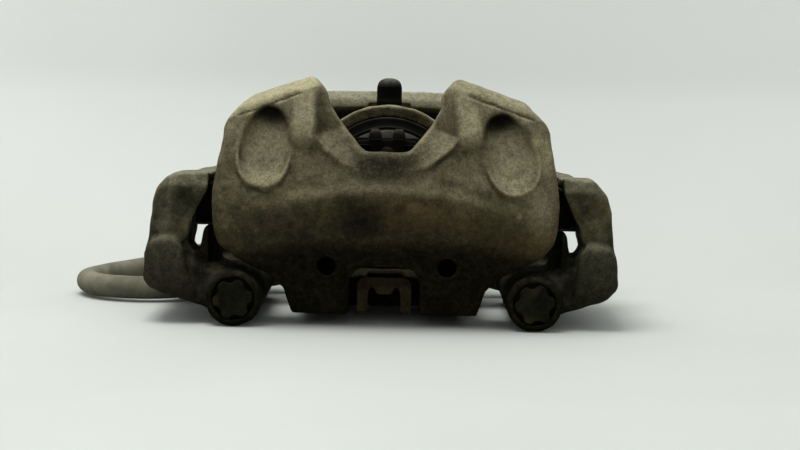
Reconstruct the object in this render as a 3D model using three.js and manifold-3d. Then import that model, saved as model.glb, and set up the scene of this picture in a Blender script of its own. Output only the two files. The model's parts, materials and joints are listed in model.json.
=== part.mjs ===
// Single-piston floating brake caliper with its carrier bracket, pads and flexible hose.
// Millimetres, +Z up. X runs along the caliper, +Y is inboard (towards the car), +Z points to the hub.
// Origin: centre of the bridge's outer flat face, in the disc's middle plane and the caliper's middle plane.
import * as THREE from "three";
import { mergeVertices } from "three/addons/utils/BufferGeometryUtils.js";
import { ConvexGeometry } from "three/addons/geometries/ConvexGeometry.js";
import Module from "manifold-3d";

// ---- driving dimensions (mm)
const DISC_HALF = 12.5; // brake disc half thickness
const SLOT = 13.5; // friction face to disc middle plane, pads fully backed off
const LINING = 11; // friction lining thickness
const PLATE = 5.5; // pad backing plate thickness
const SHIM = 0.8;
const DISC_R = 150; // disc outer radius
const DISC_Z = 166; // hub axis height above the bridge's outer face
const PISTON_R = 27; // 54 mm piston
const BORE_R = 27.3;
const AXIS_Z = 45; // piston axis height
const RIM_R = 37.5; // cylinder rim outer radius
const CYL_R = 34.5; // cylinder barrel outer radius
const RIM_Y = 33; // cylinder front face
const CYL_END = 82; // cylinder back face
const CLAW_Y = -31.4; // inner face of the outboard claw
const PIN_X = 60.7; // guide pin axes
const PIN_Z = 6.4;
const PIN_R = 5.0;
const BOSS_R = 11.4; // guide bore boss
const BOSS_FRONT = -47;
const BOSS_BACK = 38;
const LUG_Y0 = 52; // housing lugs for the guide pins
const LUG_Y1 = 62;
const TIE_Y0 = 62; // carrier tie bar
const TIE_Y1 = 76;
const EAR_X = 56; // carrier mounting bolt holes
const EAR_Z = 73;
const EAR_HOLE_R = 6.2; // with a machined face 1 mm proud of the tie bar
const GAP = 0.3; // clearance between pieces that touch on the real assembly

const wasm = await Module();
wasm.setup();

// ---- helpers
const V2 = (x, y) => new THREE.Vector2(x, y);
const solid = (geometry) => {
  const bare = new THREE.BufferGeometry().setAttribute(
    "position",
    (geometry.index ? geometry.toNonIndexed() : geometry).getAttribute("position"),
  );
  const g = mergeVertices(bare, 1e-4);
  const idx = g.index.array;
  const tri = [];
  for (let i = 0; i < idx.length; i += 3)
    if (idx[i] !== idx[i + 1] && idx[i + 1] !== idx[i + 2] && idx[i] !== idx[i + 2])
      tri.push(idx[i], idx[i + 1], idx[i + 2]);
  const make = (t) =>
    new wasm.Manifold(
      new wasm.Mesh({
        numProp: 3,
        vertProperties: new Float32Array(g.attributes.position.array),
        triVerts: new Uint32Array(t),
      }),
    );
  let volume = 0;
  const p = g.attributes.position.array;
  for (let i = 0; i < tri.length; i += 3) {
    const [a, b, c] = [tri[i] * 3, tri[i + 1] * 3, tri[i + 2] * 3];
    volume +=
      p[a] * (p[b + 1] * p[c + 2] - p[b + 2] * p[c + 1]) -
      p[a + 1] * (p[b] * p[c + 2] - p[b + 2] * p[c]) +
      p[a + 2] * (p[b] * p[c + 1] - p[b + 1] * p[c]);
  }
  if (volume < 0) for (let i = 0; i < tri.length; i += 3) [tri[i + 1], tri[i + 2]] = [tri[i + 2], tri[i + 1]];
  return make(tri);
};
const geometryOf = (m) => {
  const mesh = m.getMesh();
  const v = new Float32Array(mesh.numVert * 3);
  for (let i = 0; i < mesh.numVert; i++)
    v.set(mesh.vertProperties.subarray(i * mesh.numProp, i * mesh.numProp + 3), i * 3);
  const g = new THREE.BufferGeometry()
    .setAttribute("position", new THREE.BufferAttribute(v, 3))
    .setIndex(new THREE.BufferAttribute(mesh.triVerts, 1))
    .toNonIndexed();
  g.computeVertexNormals();
  return g;
};
const add = (...s) => s.reduce((a, b) => a.add(b));
const cut = (a, ...s) => s.reduce((m, b) => m.subtract(b), a);
// outline given as [x, z] pairs, extruded along Y from y0 to y1, with an optional chamfer
const extY = (points, y0, y1, chamfer = 0) => {
  const shape = new THREE.Shape(points.map(([x, z]) => V2(x, z)));
  const g = new THREE.ExtrudeGeometry(shape, {
    depth: y1 - y0 - 2 * chamfer,
    bevelEnabled: chamfer > 0,
    bevelThickness: chamfer,
    bevelSize: chamfer,
    bevelOffset: -chamfer,
    bevelSegments: 1,
    steps: 1,
    curveSegments: 6,
  });
  g.rotateX(Math.PI / 2);
  g.translate(0, y1 - chamfer, 0);
  return solid(g);
};
// outline given as [y, z] pairs, extruded along X from x0 to x1
const extX = (points, x0, x1) => {
  const shape = new THREE.Shape(points.map(([y, z]) => V2(y, z)));
  const g = new THREE.ExtrudeGeometry(shape, { depth: x1 - x0, bevelEnabled: false, steps: 1 });
  g.rotateX(Math.PI / 2).rotateZ(Math.PI / 2);
  g.translate(x0, 0, 0);
  return solid(g);
};
const box = (x0, x1, y0, y1, z0, z1) =>
  solid(new THREE.BoxGeometry(x1 - x0, y1 - y0, z1 - z0).translate((x0 + x1) / 2, (y0 + y1) / 2, (z0 + z1) / 2));
const cylY = (r, y0, y1, x, z, n = 24, r2 = r) =>
  solid(new THREE.CylinderGeometry(r2, r, y1 - y0, n).translate(x, (y0 + y1) / 2, z));
const cylZ = (r, z0, z1, x, y, n = 20, r2 = r) =>
  solid(
    new THREE.CylinderGeometry(r2, r, z1 - z0, n).rotateX(Math.PI / 2).translate(x, y, (z0 + z1) / 2),
  );
// profile of [radius, y] pairs turned about the line x, z parallel to Y
const turnY = (profile, x, z, n = 32) => {
  const closed = profile[0][0] > 1e-6 ? [...profile, profile[0]] : profile;
  return solid(
    new THREE.LatheGeometry(
      closed.map(([r, y]) => V2(r, y)),
      n,
    ).translate(x, 0, z),
  );
};
const turnZ = (profile, x, y, n = 20) => {
  const closed = profile[0][0] > 1e-6 ? [...profile, profile[0]] : profile;
  return solid(
    new THREE.LatheGeometry(
      closed.map(([r, h]) => V2(r, h)),
      n,
    )
      .rotateX(Math.PI / 2)
      .translate(x, y, 0),
  );
};
const mirrorX = (points) => points.map(([x, z]) => [-x, z]).reverse();
const both = (half) => [...half, ...mirrorX(half)];
const discEdge = (x, clear = 0) => DISC_Z - Math.sqrt((DISC_R + clear) ** 2 - x * x);

const finishes = {
  cast: [0x5d5946, 0.78, 0.35],
  bracket: [0x45443a, 0.75, 0.4],
  steel: [0x8d8c86, 0.4, 0.9],
  zinc: [0x9a9687, 0.42, 0.85],
  rust: [0x6d4a33, 0.8, 0.5],
  plate: [0x2f2f2c, 0.6, 0.4],
  lining: [0x3a3733, 0.95, 0.05],
  rubber: [0x1b1b19, 0.7, 0.0],
  hose: [0x4a4a3e, 0.75, 0.0],
  copper: [0x9a5d3c, 0.4, 0.9],
  stainless: [0x9c9b95, 0.35, 0.95],
};
const material = {};
for (const [name, [color, roughness, metalness]] of Object.entries(finishes))
  material[name] = new THREE.MeshStandardMaterial({ color, roughness, metalness, name });

const root = new THREE.Group();
const place = (name, m, finish, parent = root) => {
  const mesh = new THREE.Mesh(geometryOf(m), material[finish]);
  mesh.name = name;
  parent.add(mesh);
  return mesh;
};

// ---- caliper housing: claw, bridge, cylinder and pin lugs in one iron casting
const clawBack = [
  [36.4, 0], [39.5, 7.7], [42.3, 12.3], [47.3, 17.2], [60, 23.4], [65.9, 28], [68.6, 33.4], [69.3, 41],
  [69.3, 49], [68, 58.2], [66.2, 68.2], [65, 75], [61.5, 81.5], [56, 87.5], [42, 92.4], [30, 96],
  [26, 92], [22, 84.5], [15.5, 75.5], [10, 68.5], [4, 65.6],
];
const clawFront = [
  [35, 4], [41, 16], [47.3, 20.5], [58.5, 26], [64, 31], [66.5, 36], [67.2, 42], [67.2, 49], [66, 58],
  [64.4, 67], [62.8, 74.5], [57.5, 81.5], [40, 87], [29.5, 88.5], [27.5, 86.5], [19, 77.8], [12, 70.8],
  [9.8, 67.8], [4, 65.6],
];
const bulge = [
  [30, 30], [46, 29], [58, 33], [63, 40], [63.5, 49], [61, 58], [52, 62], [34, 64], [16, 60],
];
let housing = add(
  extY(both(clawBack), -44, CLAW_Y, 0),
  extY(both(clawFront), -50, -43.5, 0),
  extY(both(bulge), -54, -49.5, 0),
);
// underside of the claw rakes back to the bridge
housing = cut(
  housing,
  extX([[-70, -6], [-70, 32], [-54.2, 32], [-36.5, -6]], -90, 90),
  // scooped recesses in both fingers
  ...[-1, 1].map((s) => {
    const g = new THREE.SphereGeometry(1, 16, 10).scale(11.4, 8.2, 16.4);
    g.rotateY((s * 14 * Math.PI) / 180).translate(s * 48.6, -53.2, 68.6);
    return solid(g);
  }),
  // two spring holes
  cylY(4.0, -60, -37, -24.5, 20.4, 16),
  cylY(4.0, -60, -37, 24.5, 20.4, 16),
);
const bridge = extY(
  [[-36.4, 0], [36.4, 0], [38.5, 6], [37.5, 12.5], [-37.5, 12.5], [-38.5, 6]],
  -40, 66, 0,
);
const web = extY([[-30, 4], [30, 4], [33, 22], [20, 30], [-20, 30], [-33, 22]], 40, 78, 0);
const barrel = add(
  cylY(RIM_R, RIM_Y, RIM_Y + 8, 0, AXIS_Z, 48),
  cylY(CYL_R, RIM_Y + 7, CYL_END - 5, 0, AXIS_Z, 48),
  cylY(CYL_R, CYL_END - 5.2, CYL_END, 0, AXIS_Z, 48, CYL_R - 5),
);
// pin lugs reach out from the barrel to the guide pin axes
const lug = (s) =>
  add(
    extY(
      [
        [s * 24, 26], [s * 24, 8], [s * 40, 1], [s * 56, -2.6], [s * 64, -3.4], [s * 70, 2.5],
        [s * 70.4, 9], [s * 66, 15], [s * 52, 22], [s * 38, 34],
      ],
      LUG_Y0, LUG_Y1, 0,
    ),
  );
housing = add(
  housing, bridge, web, barrel, lug(1), lug(-1),
  cylZ(7.6, 70, 81, 0, 47, 20), // bleed screw boss
  cylY(9.2, CYL_END - 6, CYL_END + 3, -14, 36, 20), // hose inlet boss
);
housing = cut(
  housing,
  // disc clearance over the bridge and at the rim
  cylY(DISC_R + 3.4, -15.5, 15.5, 0, DISC_Z, 96),
  // bore, boot groove and seal groove
  cylY(BORE_R, RIM_Y - 4, 76, 0, AXIS_Z, 48),
  cylY(32.6, RIM_Y - 4, RIM_Y + 3.6, 0, AXIS_Z, 48),
  cylY(30.4, 39.0, 42.6, 0, AXIS_Z, 48),
  // pad cavity in front of the rim, so that nothing of the web reaches the pads
  box(-34, 34, 15, RIM_Y, 12.5, 60),
  // window at the claw's root
  box(-14.6, 14.6, -60, -15.5, -2, 17.5),
  cylY(6, -60, -32, -8.6, 14.4, 16),
  cylY(6, -60, -32, 8.6, 14.4, 16),
  box(-8.6, 8.6, -60, -32, 10, 20.4),
  // relief for the pad clip
  box(-8.6, 8.6, -34.4, CLAW_Y + 1, 58, 70),
  // bolt holes through the lugs
  cylY(4.3, LUG_Y0 - 2, LUG_Y1 + 2, PIN_X, PIN_Z, 16),
  cylY(4.3, LUG_Y0 - 2, LUG_Y1 + 2, -PIN_X, PIN_Z, 16),
  // bleed screw bore and hose inlet thread
  cylZ(4.3, 73, 84, 0, 47, 16),
  cylZ(1.4, 66, 74, 0, 47, 10),
  cylY(5.2, 72, CYL_END + 6, -14, 36, 16),
);
place("caliper_housing", housing, "cast");

// ---- carrier bracket
// outer outline differs a little from side to side
const arms = (s) => {
  const o = s < 0 ? 0 : -3.2; // the right arm is the slimmer one
  const outboard = [
    [60, 18], [67.2, 21.2], [69.5, 30], [69.6, 34.4], [72.8, 34.6], [73.3, 25.4], [75.8, 26], [78, 29.5], [78.4, 33], [78.4, 51.9], [70.6, 51.9],
    [70.6, 56.2], [83, 55.4], [88 + o, 54], [93 + o, 50.2], [94.6 + o, 46], [96.4 + o, 31], [98.2 + o, 22.8],
    [98.6 + o, 12], [94.8 + o, 8.6], [90.8, 7.4], [75, 4], [66, 1],
  ];
  const across = [
    [60, 15.5], [66, 16.2], [76, 16.8], [85.4, 17.4], [86, 34], [90, 38], [95.4 + o, 36], [98.2 + o, 22.8],
    [98.6 + o, 13], [94.8 + o, 9.6], [90.8, 9.2], [76, 8.6], [66, 1],
  ];
  const inboard = [
    [60, 15.5], [67.6, 16.4], [69.4, 30], [69.6, 34.4], [72.8, 34.6], [73.6, 17], [85, 17.6], [85, 32.5], [78.4, 34.2], [78.4, 51.9], [70.6, 51.9],
    [70.6, 56.2], [80, 54.6], [88 + o, 53.4], [93 + o, 50], [96 + o, 44], [98.6 + o, 31], [98.6 + o, 13],
    [94.8 + o, 9.6], [90.8, 9.2], [76, 8.6], [66, 1],
  ];
  const m = (p) => (s < 0 ? mirrorX(p) : p);
  let a = add(
    extY(m(outboard), -37, -14.5, 1.2),
    extY(m(across), -16, 16, 0),
    extY(m(inboard), 14.5, 34.5, 1.0),
    cylY(BOSS_R, BOSS_FRONT + 3, BOSS_BACK, s * PIN_X, PIN_Z, 28),
    cylY(10.4, BOSS_FRONT, BOSS_FRONT + 4, s * PIN_X, PIN_Z, 28),
    // strut from the inboard abutment back to the mounting ear
    solid(
      new ConvexGeometry(
        [
          [56, 33, 56], [74, 33, 55], [76.5, 33, 46], [64, 33, 38], [78, 34, 36], [58, 33, 40],
          [52, 66, 62], [58, 66, 62], [68, 66, 70], [54, 75, 60], [66, 75, 66], [50, 66, 74], [68, 75, 72],
        ].map(([x, y, z]) => new THREE.Vector3(s * x, y, z)),
      ),
    ),
    solid(
      new ConvexGeometry(
        [
          [56, 31.4, 52], [76, 31.4, 54.5], [78, 31.4, 36], [64, 31.4, 40], [56, 36, 52], [76, 36, 54.5],
          [90 + o, 31.4, 46], [90 + o, 34.5, 46], [90 + o, 31.4, 24], [88 + o, 34.5, 24], [78, 36, 36], [64, 36, 40],
        ].map(([x, y, z]) => new THREE.Vector3(s * x, y, z)),
      ),
    ),
    cylY(12, TIE_Y0, TIE_Y1 + 1, s * EAR_X, EAR_Z, 28),
  );
  return a;
};
const tie = extY(
  both([
    [10, 88], [34, 87.8], [48, 86.6], [62, 83.6], [58, 62], [42, 60.5], [32, 68], [24, 75], [16, 80], [10, 81.6],
  ]),
  TIE_Y0, TIE_Y1, 0,
);
let bracket = add(arms(-1), arms(1), tie);
for (const s of [-1, 1])
  bracket = cut(
    bracket,
    cylY(PIN_R + 0.35, BOSS_FRONT + 2, BOSS_BACK + 2, s * PIN_X, PIN_Z, 20), // guide bore
    cylY(8.4, BOSS_FRONT - 2, BOSS_FRONT + 6, s * PIN_X, PIN_Z, 24), // plug seat
    cylY(7.4, BOSS_BACK - 3, BOSS_BACK + 2, s * PIN_X, PIN_Z, 20), // boot seat
    cylY(EAR_HOLE_R, TIE_Y0 - 2, TIE_Y1 + 2, s * EAR_X, EAR_Z, 20), // mounting bolt hole
    // lower front corner of the arm is raked back
    extX([[-50, 2], [-50, 23], [-38.4, 23], [-29, 2]], s > 0 ? 73.5 : -110, s > 0 ? 110 : -73.5),
  );
// clearance round the barrel
bracket = cut(bracket, cylY(36.3, 30, 90, 0, AXIS_Z, 64));
place("carrier_bracket", bracket, "bracket");

for (const [s, side] of [[-1, "left"], [1, "right"]]) {
  // lobed plug that closes the front of each guide bore
  const lobes = [];
  for (let i = 0; i < 48; i++) {
    const a = (i / 48) * Math.PI * 2;
    const r = 7.35 + 0.75 * Math.max(-1, Math.min(1, 2.2 * Math.cos(6 * a)));
    lobes.push([s * PIN_X + r * Math.cos(a), PIN_Z + r * Math.sin(a)]);
  }
  place(
    `guide_bore_plug_${side}`,
    add(
      extY(lobes, BOSS_FRONT - 1.4, BOSS_FRONT + 3, 0),
      cylY(8.0, BOSS_FRONT + 2.5, BOSS_FRONT + 5.6, s * PIN_X, PIN_Z, 24),
    ),
    "bracket",
  );
  // guide pin, screwed to the housing lug, sliding in the bracket's bore
  const hex = (r, y0, y1, x, z, turn = 0) => {
    const p = [];
    for (let i = 0; i < 6; i++)
      p.push([x + r * Math.cos((i * Math.PI) / 3 + turn), z + r * Math.sin((i * Math.PI) / 3 + turn)]);
    return extY(p, y0, y1, 0);
  };
  place(
    `guide_pin_${side}`,
    add(
      turnY([[0, -31], [3.6, -31], [PIN_R, -29], [PIN_R, 41.5], [4.3, 42], [4.3, 44.2], [PIN_R, 44.7], [PIN_R, 47], [0, 47]], s * PIN_X, PIN_Z, 20),
      hex(7.6, 46.8, LUG_Y0 - GAP, s * PIN_X, PIN_Z),
    ),
    "steel",
  );
  place(
    `guide_pin_bolt_${side}`,
    add(
      cylY(4.0, LUG_Y0, LUG_Y1 + 1, s * PIN_X, PIN_Z, 16),
      cylY(8.6, LUG_Y1 + GAP, LUG_Y1 + 1.9, s * PIN_X, PIN_Z, 20),
      hex(7.5, LUG_Y1 + 1.7, LUG_Y1 + 7.5, s * PIN_X, PIN_Z, 0.3),
    ),
    "zinc",
  );
  place(
    `guide_pin_boot_${side}`,
    turnY(
      [
        [5.5, 35.4], [7.1, 35.4], [7.1, 38.2], [8.8, 38.8], [8.8, 39.8], [7.3, 40.5], [8.6, 41.3], [8.6, 42.1],
        [7.1, 42.8], [7.1, 44.2], [4.6, 44.2], [4.6, 42.6], [5.9, 42.2], [5.9, 40.2], [5.5, 39.4],
      ],
      s * PIN_X, PIN_Z, 20,
    ),
    "rubber",
  );
}

// ---- pads
const plateHalf = () => {
  const p = [];
  for (const x of [8, 20, 32, 44, 56, 65]) p.push([x, discEdge(x, -1.6)]);
  p.push([69.2, 36], [76.9, 36], [76.9, 50.5], [69.4, 50.5], [67.6, 56], [62, 63.5], [52, 67.6], [30, 68.4]);
  return p;
};
const liningHalf = () => {
  const p = [];
  for (const x of [8, 22, 36, 50]) p.push([x, discEdge(x, -3)]);
  p.push([63, 35.2], [62, 50], [55, 61.5], [38, 64.5]);
  return p;
};
const lining = (y0, y1, face) =>
  cut(
    extY(both(liningHalf()), y0, y1, 0),
    box(-1.3, 1.3, face < 0 ? y0 - 1 : y0 + 3, face < 0 ? y1 - 3 : y1 + 1, 0, 90),
  );
const shimHalf = () => [[14, 22], [44, 27], [60, 36], [60, 50], [52, 60], [30, 63.4]];

// outboard pad
const OB = -(SLOT + LINING); // back of the lining
place("outboard_lining", lining(OB + GAP, -SLOT, 1), "lining");
place(
  "outboard_backplate",
  cut(
    extY(both(plateHalf()), OB - PLATE, OB, 0),
    cylY(2.3, OB - PLATE - 1, OB + 1, 0, 64.6, 12),
  ),
  "plate",
);
place("outboard_shim", cut(extY(both(shimHalf()), CLAW_Y + GAP, OB - PLATE - GAP, 0), box(-9.5, 9.5, -40, -20, 56, 70)), "stainless");
// two-pronged clip riveted to the outboard plate
{
  const clip = [
    [-7.0, 60], [7.0, 60], [7.0, 71], [6.6, 73.6], [5.6, 75], [4.4, 75.2], [3.2, 74.4], [2.7, 72.6], [2.4, 70.6],
    [-2.4, 70.6], [-2.7, 72.6], [-3.2, 74.4], [-4.4, 75.2], [-5.6, 75], [-6.6, 73.6], [-7.0, 71],
  ];
  const feet = box(-12, 12, -31.1, -30.3, 69.0, 70.2);
  place(
    "outboard_pad_clip",
    cut(
      add(extY(clip, -31.9, -30.3, 0), feet, extY([[-7, 70.5], [-2.7, 70.5], [-3.2, 74.4], [-5.6, 75]], -36, -31.5, 0), extY([[2.7, 70.5], [7, 70.5], [5.6, 75], [3.2, 74.4]], -36, -31.5, 0)),
      cylY(2.3, -40, -20, 0, 64.6, 12),
    ),
    "stainless",
  );
  place(
    "outboard_clip_rivet",
    add(cylY(2.0, -32.4, -25.2, 0, 64.6, 12), cylY(3.4, -33.6, -32.2, 0, 64.6, 14, 3.4)),
    "steel",
  );
}

// inboard pad
const IB = SLOT + LINING;
place("inboard_lining", lining(SLOT, IB - GAP, -1), "lining");
place("inboard_backplate", extY(both(plateHalf()), IB, IB + PLATE, 0), "plate");
place(
  "inboard_shim",
  cut(extY(both(shimHalf()), IB + PLATE + GAP, IB + PLATE + GAP + SHIM, 0), cylY(18.6, 20, 40, 0, AXIS_Z, 24)),
  "stainless",
);
// sprung clip on the inboard plate that grips the inside of the piston
{
  const leg = (a) => {
    const g = new THREE.BoxGeometry(5, 12.6, 0.9).translate(0, 36.9, 17.2);
    return solid(g.rotateY(a).translate(0, 0, AXIS_Z));
  };
  place(
    "inboard_piston_clip",
    add(
      cylY(16.6, IB + PLATE + GAP, IB + PLATE + GAP + 0.9, 0, AXIS_Z, 24),
      ...[0, 1, 2].map((i) => {
        const a = (i * Math.PI * 2) / 3;
        const g = new THREE.BoxGeometry(5, 0.9, 3).translate(0, IB + PLATE + GAP + 0.45, 16.2);
        return add(leg(a), solid(g.rotateY(a).translate(0, 0, AXIS_Z)));
      }),
    ),
    "stainless",
  );
}

// spring steel pad clips in the bracket's four abutments
for (const [s, side] of [[-1, "left"], [1, "right"]])
  for (const [which, y0, y1] of [["outboard", -34, -15.5], ["inboard", 15.5, 31]]) {
    const u = [
      [70.9, 51.6], [78.1, 51.6], [78.1, 34.9], [70.0, 34.9], [70.0, 35.5], [77.5, 35.5], [77.5, 51.0], [70.9, 51.0],
    ];
    place(`abutment_clip_${which}_${side}`, extY(s < 0 ? mirrorX(u) : u, y0, y1, 0), "stainless");
  }

// leaf spring in the window at the claw's root, with its rusty arched end in view
place(
  "bridge_spring",
  add(
    extY(
      [
        [-11, 1.2], [-6.6, 1.2], [-6.6, 9.6], [-5.8, 11.4], [-4.4, 11.8], [-4, 10], [-2.4, 8.6], [2.4, 8.6], [4, 10],
        [4.4, 11.8], [5.8, 11.4], [6.6, 9.6], [6.6, 1.2], [11, 1.2], [11, 12.4], [10, 14.6], [8, 15.4], [-8, 15.4],
        [-10, 14.6], [-11, 12.4],
      ],
      -39.5, -37.8, 0,
    ),
    box(-7.5, 7.5, -38.2, -6, 12.8, 14.0),
  ),
  "rust",
);

// ---- piston and its rubber parts
place(
  "piston",
  turnY(
    [
      [19.5, 31.5], [26.2, 31.5], [PISTON_R, 32.3], [PISTON_R, 33.6], [25.4, 34], [25.4, 36], [PISTON_R, 36.4],
      [PISTON_R, 73.6], [25.8, 74.8], [0, 74.8], [0, 64], [17, 64], [19.5, 61],
    ],
    0, AXIS_Z, 48,
  ),
  "steel",
);
place(
  "piston_seal",
  turnY([[27.12, 39.3], [30.1, 39.3], [30.1, 42.3], [27.12, 42.3]], 0, AXIS_Z, 48),
  "rubber",
);
place(
  "piston_dust_boot",
  turnY(
    [
      [25.7, 34.3], [27.3, 34.3], [28.0, 33.4], [28.6, 32.0], [29.4, 31.4], [31.2, 31.4], [32.3, 32.2], [32.3, 36.2],
      [30.2, 36.2], [30.2, 34.8], [30.9, 33.0], [30.0, 32.6], [29.4, 33.8], [28.6, 35.0], [27.4, 35.7], [25.7, 35.7],
    ],
    0, AXIS_Z, 40,
  ),
  "rubber",
);

// ---- bleed screw and its cap, on top of the barrel
{
  const hexZ = (r, z0, z1, x, y) => {
    const shape = new THREE.Shape(
      [0, 1, 2, 3, 4, 5].map((i) => V2(x + r * Math.cos((i * Math.PI) / 3), y + r * Math.sin((i * Math.PI) / 3))),
    );
    return solid(new THREE.ExtrudeGeometry(shape, { depth: z1 - z0, bevelEnabled: false }).translate(0, 0, z0));
  };
  place(
    "bleed_screw",
    cut(
      add(
        turnZ([[0, 73.3], [1.6, 73.3], [4.0, 76], [4.0, 81.6], [2.9, 82.4], [0, 82.4]], 0, 47, 16),
        hexZ(4.5, 81.6, 86, 0, 47),
        turnZ([[0, 85.8], [2.9, 85.8], [2.9, 87.6], [2.3, 88.2], [2.3, 89.4], [2.9, 90], [2.5, 91.4], [0, 91.4]], 0, 47, 16),
      ),
      cylZ(0.9, 76, 92, 0, 47, 8),
    ),
    "zinc",
  );
  place(
    "bleed_screw_cap",
    turnZ(
      [
        [4.85, 81.4], [5.7, 81.4], [5.7, 89.2], [5.1, 91.7], [3.4, 93.5], [0, 94.2], [0, 91.8], [2.2, 91.8], [3.3, 91.0],
        [3.3, 87.2], [4.85, 86.4],
      ].reverse(),
      0, 47, 20,
    ),
    "rubber",
  );
}

// ---- hose, banjo and end union
const INLET = [-14, CYL_END + 3, 36];
{
  const [ix, iy, iz] = INLET;
  place(
    "banjo_washer_inner",
    turnY([[5.4, iy + GAP], [8, iy + GAP], [8, iy + GAP + 1], [5.4, iy + GAP + 1]], ix, iz, 20),
    "copper",
  );
  place(
    "banjo_washer_outer",
    turnY([[5.4, iy + 12.1], [8, iy + 12.1], [8, iy + 13.1], [5.4, iy + 13.1]], ix, iz, 20),
    "copper",
  );
  const hexB = [0, 1, 2, 3, 4, 5].map((i) => [
    ix + 8.1 * Math.cos((i * Math.PI) / 3 + 0.2),
    iz + 8.1 * Math.sin((i * Math.PI) / 3 + 0.2),
  ]);
  place(
    "banjo_bolt",
    add(cylY(4.8, iy - 10, iy + 14, ix, iz, 16), extY(hexB, iy + 13.4, iy + 20, 0)),
    "zinc",
  );
  // eye with a neck that points out along the hose
  const dir = new THREE.Vector3(-0.93, 0.02, -0.36).normalize();
  const neck = (r, from, to, n = 16) => {
    const a = new THREE.Vector3(ix, iy + 6.7, iz).addScaledVector(dir, from);
    const b = new THREE.Vector3(ix, iy + 6.7, iz).addScaledVector(dir, to);
    const g = new THREE.CylinderGeometry(r, r, a.distanceTo(b), n);
    g.applyQuaternion(new THREE.Quaternion().setFromUnitVectors(new THREE.Vector3(0, 1, 0), dir));
    const c = a.clone().add(b).multiplyScalar(0.5);
    return solid(g.translate(c.x, c.y, c.z));
  };
  place(
    "banjo_fitting",
    cut(
      add(cylY(8.6, iy + 1.6, iy + 11.8, ix, iz, 24), neck(4.2, 5, 16)),
      cylY(5.3, iy, iy + 14, ix, iz, 20),
    ),
    "zinc",
  );
  place("hose_ferrule_caliper", neck(6.4, 16.3, 35, 20), "zinc");
  const start = new THREE.Vector3(ix, iy + 6.7, iz).addScaledVector(dir, 35.3);
  const path = [
    start.toArray(),
    start.clone().addScaledVector(dir, 8).toArray(),
    [-84, 91, 9.5], [-110, 80, 3.2], [-128, 63, 1.3], [-134, 42, 1.1], [-125, 26, 1.1], [-108, 20, 1.1],
    [-93.5, 24.5, 1.1], [-86, 38, 1.1], [-84.2, 46, 1.1], [-84, 52, 1.1],
  ].map((p) => new THREE.Vector3(...p));
  const curve = new THREE.CatmullRomCurve3(path, false, "centripetal");
  const ring = new THREE.Shape();
  for (let i = 0; i < 12; i++) {
    const a = (i / 12) * Math.PI * 2;
    ring[i ? "lineTo" : "moveTo"](5.0 * Math.cos(a), 5.0 * Math.sin(a));
  }
  ring.closePath();
  place("brake_hose", solid(new THREE.ExtrudeGeometry(ring, { steps: 44, extrudePath: curve, bevelEnabled: false })), "hose");
  place("hose_ferrule_end", cylY(6.0, 52.4, 68, -84, 2.1, 20), "zinc");
  const nut = [0, 1, 2, 3, 4, 5].map((i) => [-84 + 8 * Math.cos((i * Math.PI) / 3), 3.0 + 8 * Math.sin((i * Math.PI) / 3)]);
  place(
    "hose_end_union",
    cut(add(extY(nut, 68.3, 76.5, 0), cylY(5.6, 76, 80, -84, 3.0, 20)), cylY(3.6, 72, 90, -84, 3.0, 16)),
    "zinc",
  );
}

export default root;
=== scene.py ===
# Looks of the floating brake caliper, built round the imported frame. Lengths below are in mm unless a name says otherwise.
import json
import math
import bmesh
import bpy
import numpy as np
from mathutils import Matrix, Vector

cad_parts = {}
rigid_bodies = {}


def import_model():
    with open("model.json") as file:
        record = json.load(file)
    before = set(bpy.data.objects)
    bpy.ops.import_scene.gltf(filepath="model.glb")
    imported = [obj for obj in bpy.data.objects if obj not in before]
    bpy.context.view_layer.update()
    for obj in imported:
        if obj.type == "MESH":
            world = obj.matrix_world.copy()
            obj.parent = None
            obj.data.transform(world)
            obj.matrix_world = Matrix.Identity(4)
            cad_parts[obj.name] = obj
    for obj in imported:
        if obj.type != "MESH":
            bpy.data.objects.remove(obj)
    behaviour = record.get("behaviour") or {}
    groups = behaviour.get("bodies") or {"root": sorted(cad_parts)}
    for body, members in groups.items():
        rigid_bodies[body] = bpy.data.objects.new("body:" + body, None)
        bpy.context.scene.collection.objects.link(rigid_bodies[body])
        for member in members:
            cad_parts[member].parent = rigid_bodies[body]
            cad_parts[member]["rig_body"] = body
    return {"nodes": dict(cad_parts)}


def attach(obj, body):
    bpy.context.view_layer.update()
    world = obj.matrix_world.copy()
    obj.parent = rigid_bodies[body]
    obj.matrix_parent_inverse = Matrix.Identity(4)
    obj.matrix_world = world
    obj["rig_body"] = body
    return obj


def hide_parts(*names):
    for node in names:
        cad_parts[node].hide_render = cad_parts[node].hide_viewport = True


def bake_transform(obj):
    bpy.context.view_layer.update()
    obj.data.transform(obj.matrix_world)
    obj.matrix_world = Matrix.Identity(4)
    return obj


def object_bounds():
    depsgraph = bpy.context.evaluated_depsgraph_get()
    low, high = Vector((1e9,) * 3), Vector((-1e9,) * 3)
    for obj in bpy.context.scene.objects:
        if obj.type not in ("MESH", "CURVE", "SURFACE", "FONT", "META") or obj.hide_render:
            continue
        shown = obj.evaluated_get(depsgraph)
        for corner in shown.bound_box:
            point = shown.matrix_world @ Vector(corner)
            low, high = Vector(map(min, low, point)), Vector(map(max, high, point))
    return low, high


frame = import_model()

CAD_LO, CAD_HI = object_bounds()
MM = 0.001
NODES = frame["nodes"]
BODY = {n: o["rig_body"] for n, o in NODES.items()}
CAST_VOXEL = 0.72


# ------------------------------------------------------------------ mesh helpers
def mesh_object(name, verts, faces, scale=MM, smooth=True):
    me = bpy.data.meshes.new(name)
    v = np.asarray(verts, np.float64) * scale
    me.from_pydata(v.tolist(), [], [list(map(int, f)) for f in faces])
    me.validate()
    me.update()
    ob = bpy.data.objects.new(name, me)
    bpy.context.scene.collection.objects.link(ob)
    if smooth:
        me.shade_smooth()
    return ob


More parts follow.
